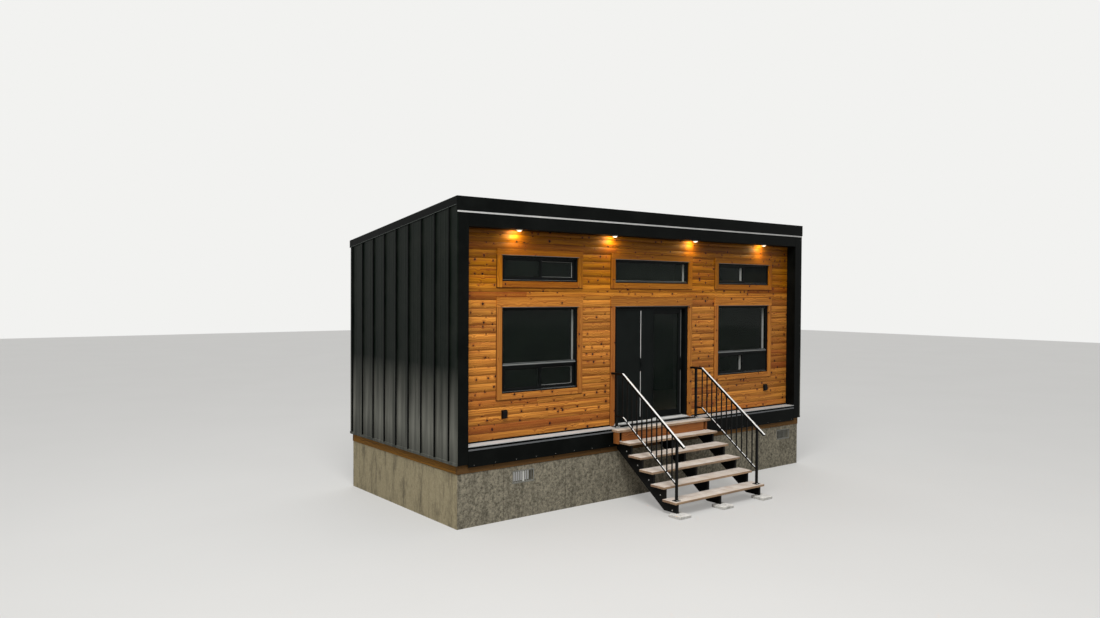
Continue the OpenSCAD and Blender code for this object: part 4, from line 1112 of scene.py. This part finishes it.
RIM_JOINTS = [-1.32, 1.55]
rim, rim_left = Stock(4), Stock(6)
low, high = BOX["rim_board"]
tall, between = (low.z, high.z), (low.y + TIMBER, high.y - TIMBER)
for a, b in zip([low.x] + [x + 0.001 for x in RIM_JOINTS], RIM_JOINTS + [high.x]):
    plank(rim, (a, b), (low.y, low.y + TIMBER), tall, 0, 0.002)
    plank(rim, (a, b), (high.y - TIMBER, high.y), tall, 0, 0.002)
plank(rim, (high.x - TIMBER, high.x), between, tall, 1, 0.002)
plank(rim_left, (low.x, low.x + TIMBER), between, tall, 1, 0.002)
make("rim_boards", rim, stained_fir, replaces=["rim_board"])
make("rim_board_left", rim_left, lit_fir)
coat(stem_concrete, "foundation")

low, high = BOX["foundation_vents"]
VENT_HALF = 0.210
VENT_LIP = 0.021         # from a vent's edge to its slats
VENT_MIDDLES = [low.x + VENT_HALF, high.x - VENT_HALF]
VENT_EDGE = [(0.0, 0.002), (0.003, 0.0), (0.018, 0.0), (0.022, 0.004), (0.022, 0.014), (0.0, 0.014)]
grille, slats = Stock(), []
for x in VENT_MIDDLES:
    ring(grille, *about(x, VENT_HALF), low.z, high.z, low.y, VENT_EDGE)
    for dx in (-0.066, 0.066):
        plank(grille, about(x + dx, 0.008), (low.y + 0.001, low.y + 0.012),
              (low.z + VENT_LIP, high.z - VENT_LIP), 2, 0.002)
    for field, i in product((-1, 0, 1), (0, 1)):
        slats.append(((x + field * 0.130 + (i - 0.5) * 0.043, low.y + 0.007, low.z + VENT_LIP), UPRIGHT_R,
                      (high.z - low.z - 2 * VENT_LIP, 1, 1), i))
make("vent_frames", grille, galvanised, replaces=["foundation_vents"])
bars("vent_slats", slats, 0.014, 0.006, 0.001, 4, galvanised)
damper = Stock()
plank(damper, (VENT_MIDDLES[0] - 0.020, VENT_MIDDLES[0] + 0.028), (low.y + 0.0085, low.y + 0.0105),
      (low.z + 0.024, high.z - 0.024), 2, 0.0008)
make("vent_damper", damper, white_vinyl)

PAVER, PAD = 0.255, 0.305
low, high = BOX["stair_pads"]
pavers = Stock(12)
for x in (low.x + PAD / 2, (low.x + high.x) / 2, high.x - PAD / 2):
    plank(pavers, about(x, PAVER / 2), (low.y, low.y + PAVER), (0.0, high.z), 0, 0.006)
make("stair_pavers", pavers, paver_concrete, replaces=["stair_pads"])

# Soffit lights

LIGHT_PITCH = 1.990
LIGHT_XS = [(LEFT + RIGHT) / 2 + (i - 1.5) * LIGHT_PITCH for i in range(4)]
LIGHT_Y = (BOX["soffit_lights"][0].y + BOX["soffit_lights"][1].y) / 2
RIM_PROFILE = [(0.038, -0.0185), (0.040, -0.020), (0.043, -0.0195), (0.0465, -0.014), (0.048, -0.004),
               (0.048, 0.0), (0.038, 0.0)]
LENS_PROFILE = [(0.006, -0.029), (0.022, -0.0275), (0.033, -0.0235), (0.0385, -0.0195), (0.0385, -0.010)]
rims, lenses = Stock(), Stock()
for x in LIGHT_XS:
    lathe(rims, x, LIGHT_Y, SOFFIT, RIM_PROFILE)
    lathe(lenses, x, LIGHT_Y, SOFFIT, LENS_PROFILE)
make("light_rims", rims, white_enamel, replaces=["soffit_lights"], smooth=35)
make("light_lenses", lenses, lens, smooth=35)

# Outlets with hinged covers

COVER_HALF = 0.0475
low, high = BOX["outlets"]
covers = Stock()
z = (low.z + high.z) / 2
for x in (low.x + COVER_HALF, high.x - COVER_HALF):
    plank(covers, about(x, COVER_HALF), (BOARDS - 0.016, BOARDS), about(z, 0.0675), 2, 0.004)
    run(covers, [(BOARDS - 0.045, z - 0.058), (BOARDS - 0.015, z - 0.062), (BOARDS - 0.015, z + 0.062),
                 (BOARDS - 0.028, z + 0.062), (BOARDS - 0.045, z + 0.046)], along_x(*about(x, 0.042)))
    run(covers, rounded(0.010, 0.010, 0.0048),
        lambda u, v, end: (about(x, 0.030)[end], BOARDS - 0.030 + u, z + 0.062 + v))
make("outlet_covers", covers, outlet_plastic, replaces=["outlets"])

# Stair

LANDING, TREADS = BOX["landing"], BOX["treads"]
RISE, GOING = 0.193, 0.262
STEPS = [(n, LANDING[0].y - 0.213 - GOING * (n - 1), LANDING[1].z - RISE * n) for n in range(1, 6)]
STRINGERS = [TREADS[0].x + 0.061, (TREADS[0].x + TREADS[1].x) / 2 - TIMBER / 2, TREADS[1].x - 0.099]
BOARD, BOARD_PITCH = 0.1445, 0.1505
landing, steps = Stock(2), Stock(6)
plank(landing, *zip(*LANDING), 0, 0.003)
make("landing_board", landing, bleached_wood, replaces=["landing"])
for n, y, z in STEPS:
    for front in (y, y + BOARD_PITCH):
        plank(steps, (TREADS[0].x, TREADS[1].x), (front, front + BOARD), (z - TIMBER, z), 0, 0.003)
make("tread_boards", steps, bleached_wood, replaces=["treads"])

# The box that holds the landing: a cheek at each side and a riser between them
sides = Stock(9)
foot, top = LANDING[1].z - RISE, LANDING[0].z
cheek_l, front, _ = BOX["landing_box"][0]
cheek_r = STRINGERS[2] + TIMBER
plank(sides, (cheek_l, cheek_l + TIMBER), (front, front + 0.115), (foot - TIMBER, top), 2, 0.003)
plank(sides, (cheek_r, cheek_r + TIMBER), (front, front + 0.115), (foot, top), 2, 0.003)
plank(sides, (cheek_l + 0.094, cheek_r - 0.056), (front, front + 0.019), (foot, top), 0, 0.003)
make("landing_riser_and_cheeks", sides, cedar_box, replaces=["landing_box"])
coat(stringer_paint, "stringers")

ways = ((STRINGERS[0] - 0.001, FACE_L), (STRINGERS[2] + TIMBER + 0.001, FACE_R))
fasteners("stringer_bolts", [((x, y + 0.133, z - 0.152), way, n) for x, way in ways for n, y, z in STEPS],
          0.012, 0.008, 6, 5)
SUNK = 0.0003
screws = [((x + TIMBER / 2, y + dy, z - SUNK), FACE_UP, n)
          for n, y, z in STEPS for x in STRINGERS for dy in (0.036, 0.108, 0.187, 0.259)]
screws += [((x + TIMBER / 2, LANDING[0].y + dy, LANDING[1].z - SUNK), FACE_UP, 9)
           for x in STRINGERS for dy in (0.035, 0.125)]
fasteners("tread_screws", screws, 0.005, 0.0012, 8, 5)

# Railings

RAIL_H = 0.941           # the top rail over the stair's slope
LOWER = 0.724            # the lower rail under the top one
BALUSTERS = 0.114        # from one baluster to the next
BEND = FRONT - 0.091     # where the rails turn down
TOP_POST = FRONT + 0.054
FOOT_POST = STEPS[-1][1] + 0.086


def rail_z(y):
    """The top rail's height at a depth: level as far as the bend, then down the stair's pitch."""
    return LANDING[1].z + RAIL_H - max(0.0, BEND - y) * RISE / GOING


def railing(name, node_name):
    """Top and lower rail, balusters, two posts on bolted plates."""
    x = (BOX[node_name][0].x + BOX[node_name][1].x) / 2
    frame_bars, heads = Stock(), []
    for ends, drop, size in (((FRONT + 0.180, BEND, FOOT_POST - 0.153), 0.019, (0.045, 0.036, 0.004)),
                             ((TOP_POST, BEND, FOOT_POST), LOWER + 0.0125, (0.025, 0.025, 0.003))):
        rail_sweep(frame_bars, x, [(y, rail_z(y) - drop) for y in ends], rounded(*size))
    for y, foot in ((TOP_POST, LEDGE), (FOOT_POST, STEPS[-1][2])):
        for half, z0, z1, way, cut in ((0.019, foot + 0.004, rail_z(y) - 0.03, 2, 0.003),
                                       (0.050, foot, foot + 0.008, 0, 0.002),
                                       (0.023, foot + 0.008, foot + 0.013, 0, 0.002)):
            plank(frame_bars, about(x, half), about(y, half), (z0, z1), way, cut)
        heads += [((x + a * 0.036, y + b * 0.036, foot + 0.0108), FACE_UP, 1)
                  for a, b in product((-1, 1), repeat=2)]
    make(name + "_rails", frame_bars, rail_coat, replaces=[node_name])
    places = [BEND - 0.008 - i * BALUSTERS for i in range(11)]
    bars(name + "_balusters", [((x, y, rail_z(y) - LOWER - 0.012), UPRIGHT_BACK, (LOWER - 0.010, 1, 1), i)
                               for i, y in enumerate(places)], 0.019, 0.019, 0.002, 2, rail_coat)
    fasteners(name + "_plate_bolts", heads, 0.007, 0.006, 6, 2)


railing("left_railing", "left_rail")
railing("right_railing", "right_rail")

# Screws along the beam

fasteners("beam_screws", [((FIN_IN_L + 0.099 + i * 0.385, FRONT - 0.0015, BASE - 0.017), FACE_FRONT, i)
                          for i in range(21)], 0.0045, 0.003, 8, 2)

# Inside and underside

coat(lining_wood, "left_wall", "right_wall", "back_wall", "front_wall_left", "front_wall_right",
     "front_wall_over_door", "roof")
coat(plywood, "floor")

# Studio: floor, light and camera


def aimed(data, place, target):
    """Hangs a lamp at a place, aimed at a target."""
    holder = bpy.data.objects.new(data.name, data)
    holder.location = place
    holder.rotation_euler = (Vector(target) - Vector(place)).to_track_quat("-Z", "Y").to_euler()
    bpy.context.scene.collection.objects.link(holder)
    return holder


def softbox(name, place, target, power, size, colour=(1.0, 1.0, 1.0)):
    """A round area lamp, unseen by the camera."""
    lamp = bpy.data.lights.new(name, "AREA")
    lamp.shape, lamp.size, lamp.energy, lamp.color = "DISK", size, power, colour
    aimed(lamp, place, target).visible_camera = False


def studio_floor():
    """A plain pale floor that keeps the house's shadow."""
    mesh = bpy.data.meshes.new("studio_floor")
    mesh.from_pydata([(-60, -60, 0), (60, -60, 0), (60, 60, 0), (-60, 60, 0)], [], [(0, 1, 2, 3)])
    floor = bpy.data.objects.new("studio_floor", mesh)
    bpy.context.scene.collection.objects.link(floor)
    material, tree, shader = surface("matt_studio_floor", 0.9, specular=0.1)
    place = node(tree, "TexCoord").outputs["Object"]
    soft = node(tree, "TexNoise", place, Scale=0.4)
    base = node(tree, "Mix", soft, "#D3D2CF", "#D7D6D3", data_type="RGBA")
    ray = node(tree, "LightPath").outputs
    back = node(tree, "Mix", ray["Is Diffuse Ray"], base, "#86857F", data_type="RGBA")
    fill(tree, shader, Base_Color=back)
    even = node(tree, "Emission", Color=base, Strength=1.0)
    half = node(tree, "Math", ray["Is Camera Ray"], 0.42, operation="MULTIPLY")
    shown = node(tree, "MixShader", half, shader, even)
    fill(tree, tree.nodes["Material Output"], Surface=shown)
    mesh.materials.append(material)


def studio_world():
    """A pale backdrop, and soft light that fades towards the floor."""
    world = bpy.data.worlds.new("soft_studio")
    bpy.context.scene.world = world
    world.use_nodes = True
    tree = world.node_tree
    tree.nodes.clear()
    way = node(tree, "TexCoord").outputs["Generated"]
    up = node(tree, "SeparateXYZ", way).outputs["Z"]
    high = node(tree, "MapRange", up, 0.0, 1.0, 0.34, 0.74)
    lit = node(tree, "Background", "#F3F4F6", high)
    seen = node(tree, "Background", "#F2F2F0", 1.0)
    ray = node(tree, "LightPath").outputs
    either = node(tree, "Math", ray["Is Camera Ray"], ray["Is Glossy Ray"], operation="MAXIMUM")
    any_ray = node(tree, "Math", either, ray["Is Transmission Ray"], operation="MAXIMUM")
    both = node(tree, "MixShader", any_ray, lit, seen)
    node(tree, "OutputWorld", both)


def lamps():
    """A soft key and fill for the open sky, and a glow and a bright core at each soffit light."""
    softbox("soft_key", (-8.0, -7.0, 13.0), (-1.5, -0.8, 2.4), 1550.0, 6.0)
    sky = bpy.data.lights.new("soft_fill", "SUN")
    sky.energy, sky.angle = 0.8, math.radians(60)
    aimed(sky, (0, 0, 0), (-0.7, -0.7, -0.8))
    for i, x in enumerate(LIGHT_XS):
        softbox(f"warm_light_{i}", (x, LIGHT_Y + 0.01, SOFFIT - 0.040), (x, LIGHT_Y + 0.61, SOFFIT - 1.04),
                2.3, 0.05, (1.0, 0.70, 0.14))
        softbox(f"warm_core_{i}", (x, LIGHT_Y + 0.045, SOFFIT - 0.036), (x, LIGHT_Y + 1.0, SOFFIT - 0.60),
                0.52, 0.03, (1.0, 0.86, 0.78))


def camera():
    """The photograph's own place and angle, with its slight roll."""
    yaw, pitch, roll = math.radians(38.0397), math.radians(1.0805), math.radians(-0.3108)
    forward = Vector((math.sin(yaw) * math.cos(pitch), math.cos(yaw) * math.cos(pitch), -math.sin(pitch)))
    right = Vector((math.cos(yaw), -math.sin(yaw), 0))
    down = forward.cross(right)
    side = right * math.cos(roll) + down * math.sin(roll)
    under = down * math.cos(roll) - right * math.sin(roll)
    data = bpy.data.cameras.new("camera")
    data.lens, data.sensor_width, data.clip_end = 27.4036, 36.0, 200.0
    view = bpy.data.objects.new("camera", data)
    place = Matrix((side, -under, -forward)).transposed().to_4x4()
    place.translation = (-10.5653, -11.4336, 3.4780)
    view.matrix_world = place
    bpy.context.scene.collection.objects.link(view)
    bpy.context.scene.camera = view


studio_floor()
studio_world()
lamps()
camera()
bpy.context.scene.view_settings.view_transform = "Standard"
